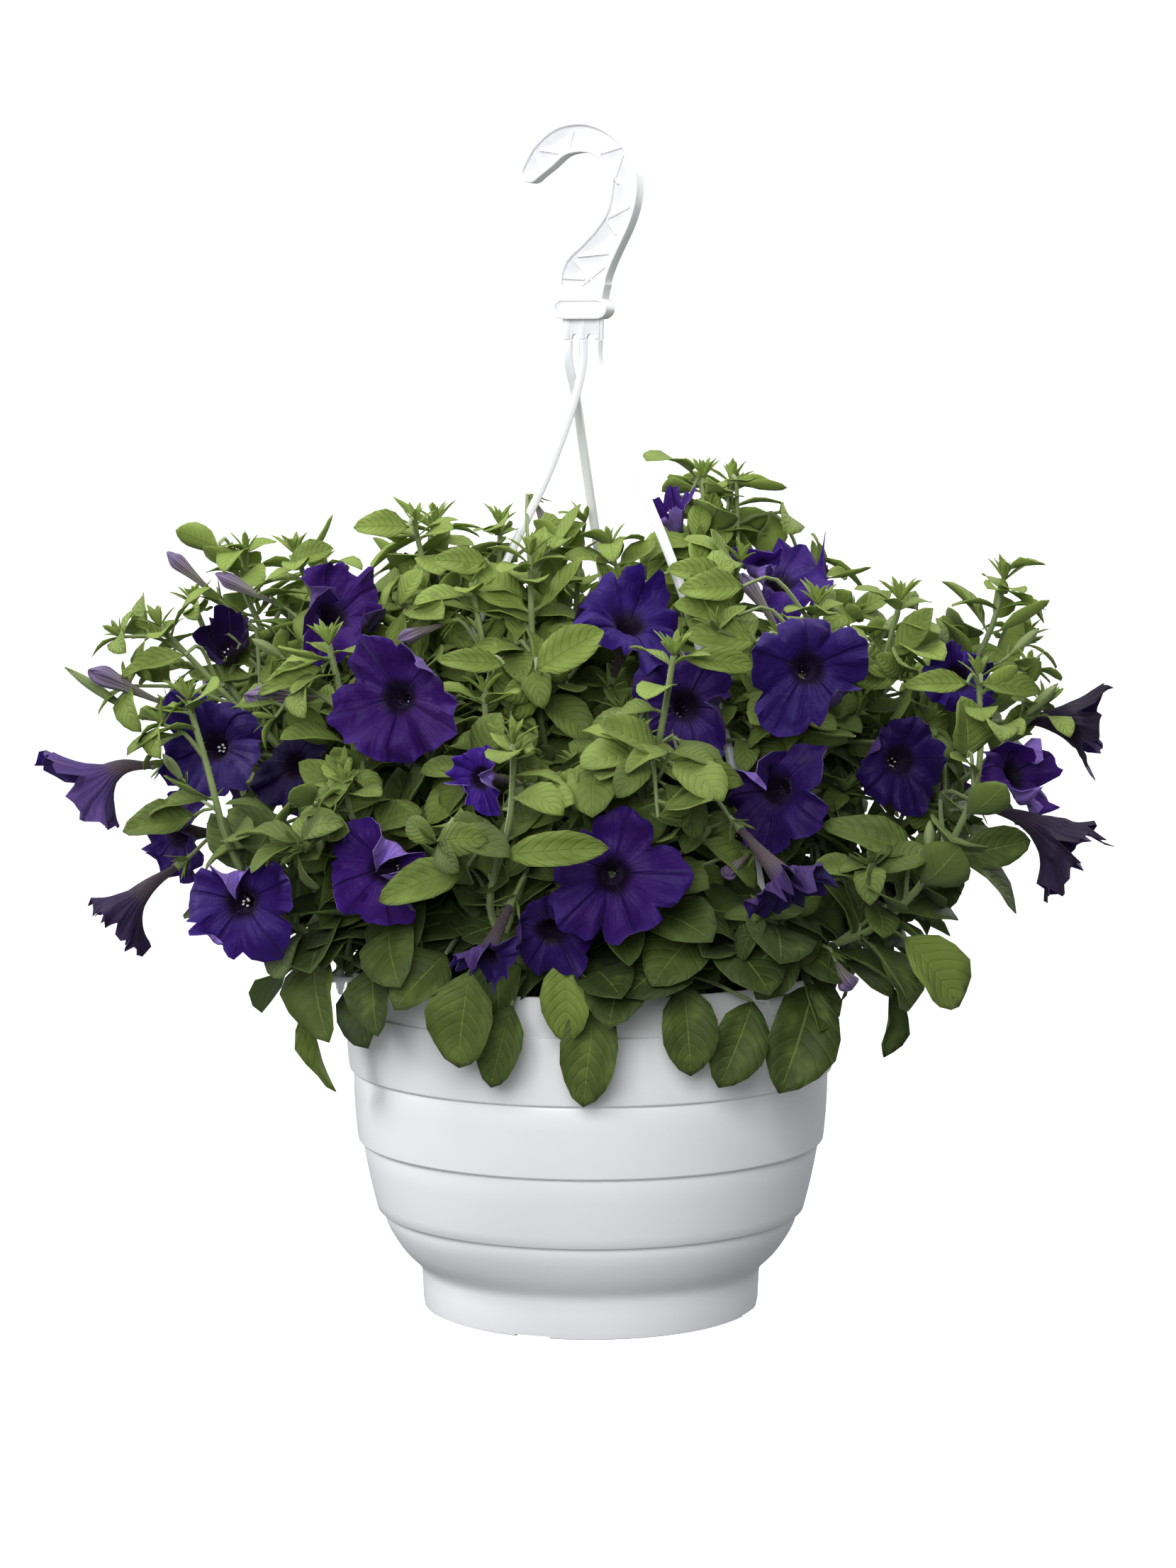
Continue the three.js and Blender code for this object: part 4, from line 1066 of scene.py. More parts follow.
class BASKET_OT_pot(bpy.types.Operator):
    """Turns the stepped pot, with its drain holes, foot notches and three ears"""
    bl_idname = "basket.pot"
    bl_label = "Pot"

    def execute(self, context):
        profile = in_metres(POT_UNDERSIDE + POT_OUTSIDE + POT_INSIDE)
        pot = turned("pot_shell", settings().pot.sides, profile)
        floor = RIM_Z - FLOOR_MIDDLE * MM
        cutters = [peg("hole", HOLE_RADIUS, 16 * MM, (HOLE_RING, 0, floor), math.tau * k / HOLES)
                   for k in range(HOLES)]
        for k in range(NOTCHES):
            middle = (NOTCH_RING, 0, FOOT_Z + 0.1 * MM)
            cutters.append(block("notch", NOTCH_SIZE, middle,
                                 math.radians(FIRST_NOTCH + 90 * k)))
        cut(pot, *cutters)
        join(pot, *(ear(math.radians(angle)) for angle in STRAP_ANGLES.values()))
        smooth(pot)
        finish_piece(pot, "white_plastic", ["pot"], "white")
        return {"FINISHED"}


def lump(name, roughness, seed):
    """An uneven crumb of about unit radius."""
    select_only()
    bpy.ops.mesh.primitive_ico_sphere_add(subdivisions=1, radius=1.0)
    piece = named(name)
    for vertex in piece.data.vertices:
        vertex.co *= 1.0 + roughness * noise.noise(vertex.co * 1.7 + Vector((seed, 0, 0)))
        vertex.co.z *= 0.72
    return Shape(piece)


class BASKET_OT_soil(bpy.types.Operator):
    """Fills the pot with moist, lumpy soil and a few grains of perlite"""
    bl_idname = "basket.soil"
    bl_label = "Soil"

    def execute(self, context):
        side = [(radius - SOIL_GAP, min(depth, SOIL_FLOOR))
                for radius, depth in reversed(POT_INSIDE[:-1]) if depth > SOIL_DEPTH]
        top = [(SOIL_RADIUS * (1 - k / 14), SOIL_DEPTH) for k in range(15)]
        soil = turned("potting_soil", 72, in_metres([(0, SOIL_FLOOR), *side, *top]))
        for vertex in soil.data.vertices:
            if vertex.co.z > SOIL_Z - 0.5 * MM:
                inset = 1.0 - (vertex.co.xy.length / (123 * MM)) ** 8
                rough = noise.fractal(vertex.co * 70, 1.0, 2.0, 4)
                vertex.co.z += max(0.0, inset) * (rough * 3.2 * MM - 0.5 * MM)
        cluster = Cluster()
        chance = random.Random(11)
        shapes = [lump("crumb", 0.7, seed) for seed in (1, 5, 9)]
        for k in range(settings().pot.crumbs):
            radius = CRUMB_RING * math.sqrt(chance.random())
            angle = chance.random() * math.tau
            size = chance.uniform(*CRUMB_SIZES) * MM
            perlite = k % PERLITE_STEP == 0
            spot = polar(radius, angle, SOIL_Z + size * 0.25)
            turn = Matrix.Rotation(chance.random() * math.tau, 4, "Z")
            matrix = Matrix.Translation(spot) @ turn @ Matrix.Scale(size, 4)
            cluster.add(chance.choice(shapes), matrix, slot=1 if perlite else 0)
        crumbs = cluster.build("soil_crumbs")
        smooth(soil, 60)
        coat(crumbs, "soil", "perlite")
        finish_piece(soil, "soil", ["soil"], "soil")
        finish_piece(crumbs, "soil", [])
        return {"FINISHED"}


# --- Hanger ---

# The hook's middle line as (across, z, half width), from its tip down to the bar.
HOOK_LINE = [
    (-27.6, -9.2, 5.6), (-20.6, -1.5, 7.7), (-11.2, 5.8, 7.9), (0, 7.8, 7.8), (10.2, 5.2, 7.4),
    (18.9, -2.2, 7.3), (23.4, -12.7, 7.4), (23, -22.6, 7.6), (19.9, -33.2, 7.5),
    (14, -43.2, 8.4), (7.4, -52.5, 10.4), (1.6, -61.8, 13), (0, -74, 11.9),
]
# Ribs over the hook's panel, each from one (across, z) to another.
HOOK_RIBS = [
    (-24.5, -0.5, -21.7, -10.1), (-22.4, 1.7, -11.8, -0.2), (-4, 10.5, -6.6, 1.1),
    (-0.5, 9.9, 4.1, 0.4), (9.3, -1.2, 22, 2.1), (22.8, -1.9, 18.3, -14.3),
    (16.4, -10.3, 20.6, -16.2), (14, -33.5, 27, -27.3), (14, -33.5, 19.2, -41.4),
    (-1.9, -51.9, 15.4, -50.6), (-3.3, -53.7, 9.3, -67.8), (16, -55, -6.8, -72),
    (-9.7, -62.6, 2.3, -63.3),
]
BAR_Z, BAR_WIDTH, BAR_HEIGHT, BAR_THICK = -78, 30, 10.8, 12
PLATE_TOP, PLATE_BOTTOM, PLATE_WIDTH, PLATE_THICK = -82, -93.7, 22, 2.4
STRAP_TOP = -94
STRAP_RINGS = 58
BARB_SIZE, BARB_DROP = (4.4 * MM, 8 * MM, 7 * MM), 5.9 * MM


def hook_sides(inset, last=1.0, steps=52):
    """The outer and inner sides of the hook, drawn in by an inset, as (across, z) points."""
    middle = Route([(x, 0, z) for x, z, _ in HOOK_LINE])
    widths = Route([(w, k, 0) for k, (_, _, w) in enumerate(HOOK_LINE)])
    outer, inner = [], []
    for k in range(steps + 1):
        share = last * k / steps
        spot, half = middle.at(share), widths.at(share).x - inset
        along = (middle.at(min(1, share + 0.002)) - middle.at(max(0, share - 0.002))).normalized()
        outer.append((spot.x - along.z * half, spot.z + along.x * half))
        inner.append((spot.x + along.z * half, spot.z - along.x * half))
    return outer, inner


def hook_outline(inset, last=1.0):
    outer, inner = hook_sides(inset, last)
    start = Vector((HOOK_LINE[1][0] - HOOK_LINE[0][0], HOOK_LINE[1][1] - HOOK_LINE[0][1]))
    lean = math.atan2(start.y, start.x)
    radius = HOOK_LINE[0][2] - inset
    tip = [(HOOK_LINE[0][0] + radius * math.cos(lean + math.radians(turn)),
            HOOK_LINE[0][1] + radius * math.sin(lean + math.radians(turn)))
           for turn in range(255, 104, -15)]
    return [*reversed(inner), *tip, *outer] if radius > 0 else [*reversed(inner), *outer]


def stadium(width, height, z, inset=0.0):
    half, radius = width / 2 - height / 2, height / 2 - inset
    turns = [math.radians(k * 15) for k in range(13)]
    right = [(half + radius * math.sin(t), z - radius * math.cos(t)) for t in turns]
    left = [(-half - radius * math.sin(t), z + radius * math.cos(t)) for t in turns]
    return right + left


def plate_outline():
    """The plate under the bar, with a round-topped notch between each two straps."""
    half = PLATE_WIDTH / 2
    notch = 1.95
    edge = [(-half, PLATE_TOP), (-half, PLATE_BOTTOM)]
    for middle in (-4.1, 4.1):
        edge += [(middle - notch * math.cos(t), PLATE_BOTTOM + notch * 1.5 * math.sin(t))
                 for t in (math.radians(k * 18) for k in range(11))]
    return [*edge, (half, PLATE_BOTTOM), (half, PLATE_TOP)]


def moulded(name, outlines, thick, edge=0.45):
    """Flat outlines in the hook's plane, filled, thickened and rounded. Inner ones are holes."""
    curve = bpy.data.curves.new(name, "CURVE")
    curve.dimensions = "2D"
    curve.fill_mode = "BOTH"
    curve.extrude = (thick / 2 - edge) * MM
    curve.bevel_depth = edge * MM
    curve.offset = -edge * MM
    curve.bevel_resolution = 2
    for outline in outlines:
        spline = curve.splines.new("POLY")
        spline.points.add(len(outline) - 1)
        for point, (x, z) in zip(spline.points, outline):
            point.co = (x * MM, z * MM, 0, 1)
        spline.use_cyclic_u = True
    select_only(linked(name, curve))
    bpy.ops.object.convert(target="MESH")
    piece = bpy.context.object
    upright = Matrix.Rotation(math.radians(90), 4, "X")
    piece.data.transform(Matrix.Rotation(settings().hanger.turn, 4, "Z") @ upright)
    return weld(piece, 1e-5)


def hook_pieces():
    hanger = settings().hanger
    thick, border, recess = (value / MM for value in (hanger.thick, hanger.border, hanger.recess))
    frame_ring = [hook_outline(0.0), hook_outline(border, 0.955)]
    yield moulded("hook_border", frame_ring, thick)
    yield moulded("hook_panel", [hook_outline(border - 0.8, 0.97)], thick - 2 * recess, 0.2)
    for x0, z0, x1, z1 in HOOK_RIBS:
        start, end = Vector((x0, z0)), Vector((x1, z1))
        side = (end - start).normalized().orthogonal() * 0.55
        corners = [start - side, end - side, end + side, start + side]
        yield moulded("hook_rib", [[tuple(c) for c in corners]], thick - 1.6, 0.25)
    bar = stadium(BAR_WIDTH, BAR_HEIGHT, BAR_Z)
    yield moulded("bar_border", [bar, stadium(BAR_WIDTH, BAR_HEIGHT, BAR_Z, 1.9)], BAR_THICK)
    yield moulded("bar_pad", [stadium(BAR_WIDTH, BAR_HEIGHT, BAR_Z, 1.4)], BAR_THICK - 1.2, 0.3)
    yield moulded("plate", [plate_outline()], PLATE_THICK, 0.3)
    for start in STRAP_STARTS.values():
        strip = [(start - 1.3, PLATE_TOP), (start - 1.3, PLATE_BOTTOM + 0.3),
                 (start + 1.3, PLATE_BOTTOM + 0.3), (start + 1.3, PLATE_TOP)]
        yield moulded("plate_rib", [strip], 4.0, 0.4)


def strap_route(name):
    turn = math.radians(STRAP_ANGLES[name])
    across = settings().hanger.turn
    points = []
    start = STRAP_STARTS[name]
    line = [(0, STRAP_TOP), (0, STRAP_TOP - 10), *STRAP_BOWS[name], *STRAP_ENDS]
    for radius, z in line:
        rest = 1 - radius / STRAP_RADIUS
        x = radius * math.cos(turn) + rest * (start * math.cos(across) - AXIS_X / MM)
        y = radius * math.sin(turn) + rest * start * math.sin(across)
        points.append(Vector((x, y, z)) * MM)
    return Route(points)


def strap_body(name):
    """A flat strap with rounded edges, its wide side kept level all the way down."""
    route = strap_route(name)
    turn = math.radians(STRAP_ANGLES[name])
    wide = Vector((-math.sin(turn), math.cos(turn), 0))
    hanger = settings().hanger
    steps = STRAP_RINGS

    def place(share, ring):
        spot = clamp(ring - 1, 0, steps) / steps
        along = route.way(spot)
        thin = along.cross(wide).normalized()
        side = thin.cross(along).normalized()
        angle = math.tau * share
        closed = 0.0 if ring in (0, steps + 2) else 1.0
        reach = [math.copysign(abs(part) ** 0.45, part) for part in
                 (math.cos(angle), math.sin(angle))]
        half = (hanger.strap_width / 2, hanger.strap_thick / 2)
        return route.point(spot) + closed * (side * reach[0] * half[0] + thin * reach[1] * half[1])

    return weld(reshape(tube_blank(f"{name}_moulding", 16, steps + 3), place))


def barb(name):
    """The arrow-shaped end that holds a strap in its ear, set in from the box's own shape."""
    turn = math.radians(STRAP_ANGLES[name])
    top = RIM_Z - BARB_DROP
    piece = block("barb", BARB_SIZE, (STRAP_RADIUS * MM, 0, top - 3.5 * MM), turn)
    radial = Vector((math.cos(turn), math.sin(turn), 0))
    middle = radial * STRAP_RADIUS * MM
    for vertex in piece.data.vertices:
        if vertex.co.z < top - 3 * MM:
            flat = Vector((vertex.co.x, vertex.co.y, 0)) - middle
            vertex.co -= flat * 0.6
    return modify(piece, "BEVEL", width=0.4 * MM, segments=2, limit_method="ANGLE")


class BASKET_OT_hanger(bpy.types.Operator):
    """Moulds the ribbed hook and the three flat straps that clip into the pot's ears"""
    bl_idname = "basket.hanger"
    bl_label = "Hanger"

    def execute(self, context):
        hook = join(*hook_pieces())
        hook.name = hook.data.name = "hook_moulding"
        smooth(hook, 35)
        finish_piece(hook, "white_plastic", ["hook"], "white", axis=0.0)
        for name in STRAP_ANGLES:
            strap = smooth(join(strap_body(name), barb(name)), 40)
            finish_piece(strap, "white_plastic", [name], "white")
        return {"FINISHED"}


# --- Leaves and stems ---

LEAF_STALK = 0.06  # the share of a leaf's length that is stalk
# Blades of unit length: width over length, arch and twist in degrees, how far the sides fold
# up, how wavy the margin is, and where the blade is widest (below 1 is nearer the base).
LEAF_FORMS = {
    "broad": (0.62, 44, 8, 0.18, 0.08, 0.78, 0.74),
    "cupped": (0.60, 22, -12, 0.42, 0.06, 0.76, 0.72),
    "arched": (0.55, 88, 14, 0.24, 0.09, 0.84, 0.80),
    "twisted": (0.55, 56, 52, 0.30, 0.12, 0.84, 0.80),
    "upturned": (0.56, -32, -16, 0.32, 0.08, 0.80, 0.76),
    "draped": (1.00, 26, 6, 0.30, 0.12, 0.52, 0.74),
    "narrow": (0.28, 12, 10, 0.42, 0.02, 0.70, 0.80),
    "sepal": (0.20, -22, 0, 0.34, 0.0, 0.45, 0.80),
}


def leaf(name, along=7, across=4):
    """A leaf along +X with its upper side to +Z, from a grid that is drawn in to its outline."""
    ratio, arch, twist, fold, wave, low, high = LEAF_FORMS[name]
    select_only()
    bpy.ops.mesh.primitive_grid_add(x_subdivisions=along, y_subdivisions=across, size=1.0)
    piece = named(f"leaf_{name}")
    coat(piece, "leaf", "leaf_back")
    for vertex in piece.data.vertices:
        even = vertex.co.x + 0.5
        vertex.co.x = 0.5 * even + 0.25 * (1 - math.cos(math.pi * even))
    layer = uv_map(piece)
    for loop in piece.data.loops:
        spot = piece.data.vertices[loop.vertex_index].co
        layer.data[loop.index].uv = (spot.x, spot.y + 0.5)
    bend, turn = math.radians(arch), math.radians(twist)
    full = (low + high) ** (low + high) / (low ** low * high ** high)
    for vertex in piece.data.vertices:
        t, s = vertex.co.x, vertex.co.y * 2
        blade = clamp((t - LEAF_STALK) / (1 - LEAF_STALK))
        half = ratio / 2 * full * blade ** low * (1 - blade) ** high
        half = max(0.022 if t < 0.9 else 0.002, half)
        rise = fold * half * abs(s) ** 1.3 + wave * half * s * s * math.sin(9 * t + 2.1 * s)
        side = Vector((0, s * half * (1 - 0.25 * fold * abs(s)), rise))
        side.rotate(Quaternion((1, 0, 0), turn * t))
        angle = bend * t
        reach = math.sin(angle) / bend
        drop = (1 - math.cos(angle)) / bend
        vertex.co = Vector((reach + side.z * math.sin(angle), side.y,
                            side.z * math.cos(angle) - drop))
    modify(piece, "SOLIDIFY", thickness=0.012, offset=-1.0, material_offset=1,
           material_offset_rim=1)
    return Shape(piece)


def hair_shape():
    """A hair: a thin spike along +Z."""
    select_only()
    bpy.ops.mesh.primitive_cone_add(vertices=3, radius1=0.045, depth=1.0, end_fill_type="NGON")
    piece = named("hair")
    piece.data.transform(Matrix.Translation((0, 0, 0.5)))
    return Shape(piece)


def framed(at, out, upper, size, wide=1.0):
    """Where a leaf goes: its base, the way it runs, its upper side, its length and its width."""
    out = out.normalized()
    side = upper.cross(out)
    if side.length < 1e-4:
        side = out.orthogonal()
    side.normalize()
    top = out.cross(side)
    matrix = Matrix((out * size, side * size * wide, top * size)).transposed().to_4x4()
    matrix.translation = at
    return matrix


def along_z(at, way, size, thick=1.0):
    turn = Vector((0, 0, 1)).rotation_difference(way)
    return Matrix.Translation(at) @ turn.to_matrix().to_4x4() @ Matrix.Diagonal(
        (size * thick, size * thick, size, 1.0))


# The radii at which each kind of strand begins and ends.
RADII = {kind: (first * MM, last * MM) for kind, first, last in (
    ("branch", 1.3, 0.9), ("leaf stalk", 0.9, 0.7), ("low leaf stalk", 1.1, 0.9),
    ("large leaf stalk", 1.2, 0.9), ("flower stalk", 1.15, 1.0), ("neck", 1.0, 2.3),
    ("tube", 2.0, 3.2), ("bud stalk", 0.85, 0.95))}
STEM_TIP = 1.5 * MM
SEPAL_LENGTH = 13 * MM


class Strands:
    """The stems, stalks and leaf stalks of a shoot, drawn as one bevelled curve."""

    def __init__(self, name):
        self.curves = []
        for detail in (1, 0):
            curve = bpy.data.curves.new(name, "CURVE")
            curve.dimensions = "3D"
            curve.bevel_depth = MM
            curve.bevel_resolution = detail
            curve.use_fill_caps = True
            self.curves.append(curve)
        self.drawn = []

    def add(self, route, first, last, steps, hairs=1.0):
        """A strand whose radius runs from first to last."""
        spline = self.curves[steps == 1].splines.new("POLY")
        spline.points.add(steps)
        for k, point in enumerate(spline.points):
            point.co = (*route.point(k / steps), 1)
            point.radius = (first + (last - first) * k / steps) / MM
        self.drawn.append((route, first, last, hairs))

    def build(self, name, chance):
        pieces = [linked(name, curve) for curve in self.curves]
        select_only(*pieces)
        bpy.ops.object.convert(target="MESH")
        piece = weld(join(*pieces))
        piece.name = piece.data.name = name
        coat(piece, "stem", "hair")
        hairs = coat(self.hairs(chance), "stem", "hair")
        return join(smooth(piece, 60), hairs)

    def hairs(self, chance):
        cluster = Cluster()
        shape = hair_shape()
        length = settings().plant.hair
        for route, first, last, dense in self.drawn:
            for _ in range(int(route.length / MM * 1.15 * dense)):
                share = chance.random()
                way = route.way(share)
                out = spoke(way, chance.random() * math.tau)
                spot = route.point(share) + out * (first + (last - first) * share) * 0.9
                lean = (out + way * chance.uniform(-0.3, 0.5)).normalized()
                matrix = along_z(spot, lean, length * chance.uniform(0.6, 1.25))
                cluster.add(shape, matrix, slot=1)
        return cluster.build("hairs")


# The room that leaves leave: about a strap, and above and round the rim.
STRAP_ROOM, STRAP_WINDOW = 5 * MM, 6 * MM
OVER_RIM, PAST_RIM = 3 * MM, 128 * MM


class Foliage:
    """The leaves of one shoot, kept out of the flowers, the pot and the hanger."""

    def __init__(self, shapes, blooms, chance):
        self.shapes = shapes
        self.blooms = blooms
        self.chance = chance
        self.cluster = Cluster()
        self.camera = Vector(settings().stage.camera) - Vector((AXIS_X, 0, 0))
        self.straps = [[route.point(k / 40) for k in range(8, 41)]
                       for route in map(strap_route, STRAP_ANGLES)]

    def free(self, matrix, ahead):
        """Whether a leaf has room. Where ahead is true, it may hide a flower from the camera."""
        spots = [matrix @ Vector((t, s, 0.0)) for t in (0.3, 0.65, 1.0) for s in (-0.2, 0.2)]
        for spot in spots:
            if any(bloom.holds(spot) if ahead else bloom.hides(spot, self.camera)
                   for bloom in self.blooms):
                return False
            if spot.z < RIM_Z + OVER_RIM and spot.xy.length < PAST_RIM:
                return False
            if any((spot - knot).length < STRAP_ROOM for strap in self.straps for knot in strap
                   if abs(spot.z - knot.z) < STRAP_WINDOW):
                return False
        return True

    def add(self, form, at, out, upper, size, wide=1.0, young=0.5, force=False, ahead=False):
        matrix = framed(at, out, upper, size, wide)
        if not force and not self.free(matrix, ahead):
            return False
        # Leaves higher up are lighter, partly for their age and partly as painted light from
        # above; leaves deep inside the plant get painted shade.
        height = (at.z - RIM_Z) / (200 * MM)
        inside = max(0.0, 1 - at.xy.length / (150 * MM)) * max(0.0, 1 - height)
        tone = 0.10 + 0.52 * height + 0.30 * young - 0.35 * inside
        tone += self.chance.uniform(-0.12, 0.12)
        self.cluster.add(self.shapes[form], matrix, clamp(tone))
        return True


UP = Vector((0, 0, 1))
LEAF_TRIES, FULL_SIZE_TRIES = 9, 5
BRANCH_HEADROOM = 12 * MM  # how far a side branch ends below its stem's tip
BRANCH_LIMIT = 0.205  # no side branch ends farther from the axis
LEAF_CHOICE = ("broad", "broad", "broad", "cupped", "arched", "twisted", "upturned")


def spray(foliage, at, way, rings, turn, young, ahead=False):
    """Leaves round a tip, which may also stand in front of a flower."""
    chance = foliage.chance
    for count, length, lean, form in rings:
        turn += 0.7
        for k in range(count):
            out = spoke(way, turn + math.tau * k / count + chance.uniform(-0.3, 0.3))
            tilt = math.radians(lean * chance.uniform(0.75, 1.2))
            run = out * math.sin(tilt) + way * math.cos(tilt)
            size = length * MM * chance.uniform(0.82, 1.18)
            foliage.add(form, at, run, way, size, 1.0, young, ahead=ahead)


# Rings of leaves, from the top down: count, length in mm, lean in degrees and form.
TIP_RINGS = [(4, 9, 8, "narrow"), (5, 13, 24, "narrow"), (4, 15, 46, "narrow")]
COLLAR_RINGS = [(2, 22, 60, "broad"), (2, 30, 72, "broad")]
AXIL_RINGS = [(2, 8, 14, "narrow"), (2, 12, 36, "narrow")]
BRANCH_RINGS = [(3, 9, 10, "narrow"), (4, 13, 30, "narrow"), (2, 21, 60, "broad"),
                (2, 27, 72, "arched")]
TUFT = 7 * MM  # how far a stem ends below the top of its shoot, which its leaves fill


def leaves_along(foliage, strands, route, number, first):
    """Pairs of leaves up a stem, each pair turned on from the last, smaller towards the tip."""
    plant = settings().plant
    chance = foliage.chance
    turn = math.radians(70 * number)
    nodes = max(2, int((route.length * (1 - first)) / plant.leaf_step))
    for k in range(nodes):
        share = first + (0.97 - first) * k / (nodes - 1)
        at, way = route.point(share), route.way(share)
        left = (1 - share) * route.length
        size = min(plant.leaf_long, plant.leaf_short + left * 0.22)
        young = max(0.0, 1 - left / (90 * MM))
        for half_turn in (0.0, math.pi + chance.uniform(-0.4, 0.4)):
            one_leaf(foliage, strands, at, way, turn + half_turn, size * chance.uniform(0.74, 1.1),
                     young)
        if k % 2:
            side = spoke(way, turn)
            spray(foliage, at + side * 2 * MM, (way + side * 0.6).normalized(), AXIL_RINGS,
                  turn + k, 0.7 * young + 0.2)
        turn += math.radians(100)


def away_from_axis(at):
    level = Vector((at.x, at.y, 0))
    return level.normalized() if level.length > MM else Vector((0, -1, 0))


def one_leaf(foliage, strands, at, way, turn, size, young):
    """A leaf on a short stalk, turned on and then made smaller until it has room."""
    chance = foliage.chance
    for attempt in range(LEAF_TRIES):
        side = spoke(way, turn + attempt * 0.75)
        lean = math.radians(chance.uniform(50, 82))
        out = side * math.sin(lean) + way * math.cos(lean)
        out.z = max(out.z, -0.35)
        out.normalize()
        upper = UP * 0.75 + away_from_axis(at) * 0.6 + way * 0.2
        form = chance.choice(LEAF_CHOICE)
        long = size * (1.0 if attempt < FULL_SIZE_TRIES else 0.72)
        base = at + out * 0.10 * long
        if foliage.add(form, base, out, upper, long, chance.uniform(0.88, 1.15), young):
            stalk = Route([at, base + out * 0.06 * long])
            strands.add(stalk, *RADII["leaf stalk"], 1, hairs=0.6)
            return


def side_branches(foliage, strands, route, number):
    """Short leafy branches that fill the plant between its main stems."""
    plant = settings().plant
    chance = foliage.chance
    for k in range(plant.branches):
        share = 0.28 + 0.62 * (k + chance.random() * 0.6) / plant.branches
        at, way = route.point(share), route.way(share)
        side = spoke(way, 1.3 * number + 2.4 * k)
        reach = chance.uniform(34, 62) * MM * (1.15 - 0.5 * share)
        end = at + side * reach * 0.8 + way * reach * 0.45 + UP * reach * 0.35
        middle = at.lerp(end, 0.5) + side * reach * 0.12
        top = route.point(1)
        end.z = min(end.z, top.z - BRANCH_HEADROOM - 0.85 * (end - top).xy.length)
        hidden = any(bloom.hides(end, foliage.camera) for bloom in foliage.blooms)
        if end.xy.length > BRANCH_LIMIT or hidden:
            continue
        branch = Route([at, middle, end])
        strands.add(branch, *RADII["branch"], 7)
        for j in range(4):
            spot = 0.45 + 0.4 * (j // 2)
            size = plant.leaf_short * chance.uniform(0.9, 1.35) * (1.25 - 0.4 * share)
            one_leaf(foliage, strands, branch.point(spot), branch.way(spot),
                     math.pi * j + 1.6 * (j // 2) + k, size, 0.3)
        young = clamp((end.z - RIM_Z) / (220 * MM), 0.1, 0.75)
        spray(foliage, end, (branch.way(1) + UP * 0.8).normalized(), BRANCH_RINGS, k, young)


def fill_branch(foliage, strands, stem, share, end):
    """One of the side branches that are placed one by one."""
    start, tip = stem.point(share), above_rim(end)
    branch = Route([start, start.lerp(tip, 0.5) + UP * 4 * MM, tip])
    strands.add(branch, *RADII["branch"], 7)
    for k in range(2):
        one_leaf(foliage, strands, branch.point(0.6), branch.way(0.6), math.pi * k,
                 settings().plant.leaf_short, 0.4)
    young = clamp(end[2] / 220, 0.1, 0.8)
    spray(foliage, tip, (branch.way(1) + UP * 0.9).normalized(), BRANCH_RINGS, share, young, True)


def low_leaves(foliage, strands, stem):
    """Broad leaves on long stalks that lie low round the rim and hide most of the soil."""
    chance = foliage.chance
    for _ in range(settings().plant.low_leaves):
        start = stem.point(chance.uniform(0.05, 0.20))
        outward = away_from_axis(stem.point(0.35))
        outward.rotate(Quaternion(UP, chance.uniform(-0.6, 0.6)))
        across = UP.cross(outward)
        base = outward * chance.uniform(84, 146) * MM
        base.z = RIM_Z + chance.uniform(14, 54) * MM
        out = outward * 0.8 + UP * chance.uniform(-0.35, 0.3) + across * chance.uniform(-1.2, 1.2)
        upper = outward * 0.65 + UP * 0.7
        size = chance.uniform(0.72, 1.0) * settings().plant.leaf_long
        form = chance.choice(("broad", "cupped", "arched", "broad"))
        if foliage.add(form, base, out, upper, size, chance.uniform(1.0, 1.25), 0.0):
            rise = start.lerp(base, 0.6) + UP * 8 * MM
            strands.add(Route([start, rise, base]), *RADII["low leaf stalk"], 6)


def set_leaf(foliage, strands, stem, row):
    """A large leaf with a place of its own, on a stalk of its own."""
    share, base, tip, width, young = row
    start, end, point = stem.point(share), above_rim(base), above_rim(tip)
    crest = start.lerp(end, 0.6)
    crest.z = max(crest.z, end.z, RIM_Z + 4 * MM) + 4 * MM
    strands.add(Route([start, crest, end]), *RADII["large leaf stalk"], 8)
    out = point - end
    front = Vector((0, -0.9, 0)) if end.y < 0 else Vector()
    upper = away_from_axis(end) + front + UP * 0.5
    foliage.add("draped", end, out, upper, out.length, width * MM / out.length, young, force=True)


def sepals(foliage, base, way, length):
    """Five narrow sepals that clasp a tube and turn out at their tips."""
    for k in range(5):
        out = spoke(way, math.tau * k / 5 + foliage.chance.uniform(-0.2, 0.2))
        run = (way * 0.86 + out * foliage.chance.uniform(0.35, 0.6)).normalized()
        foliage.add("sepal", base - way * length * 0.55, run, out, length, 1.1, 0.7, force=True)


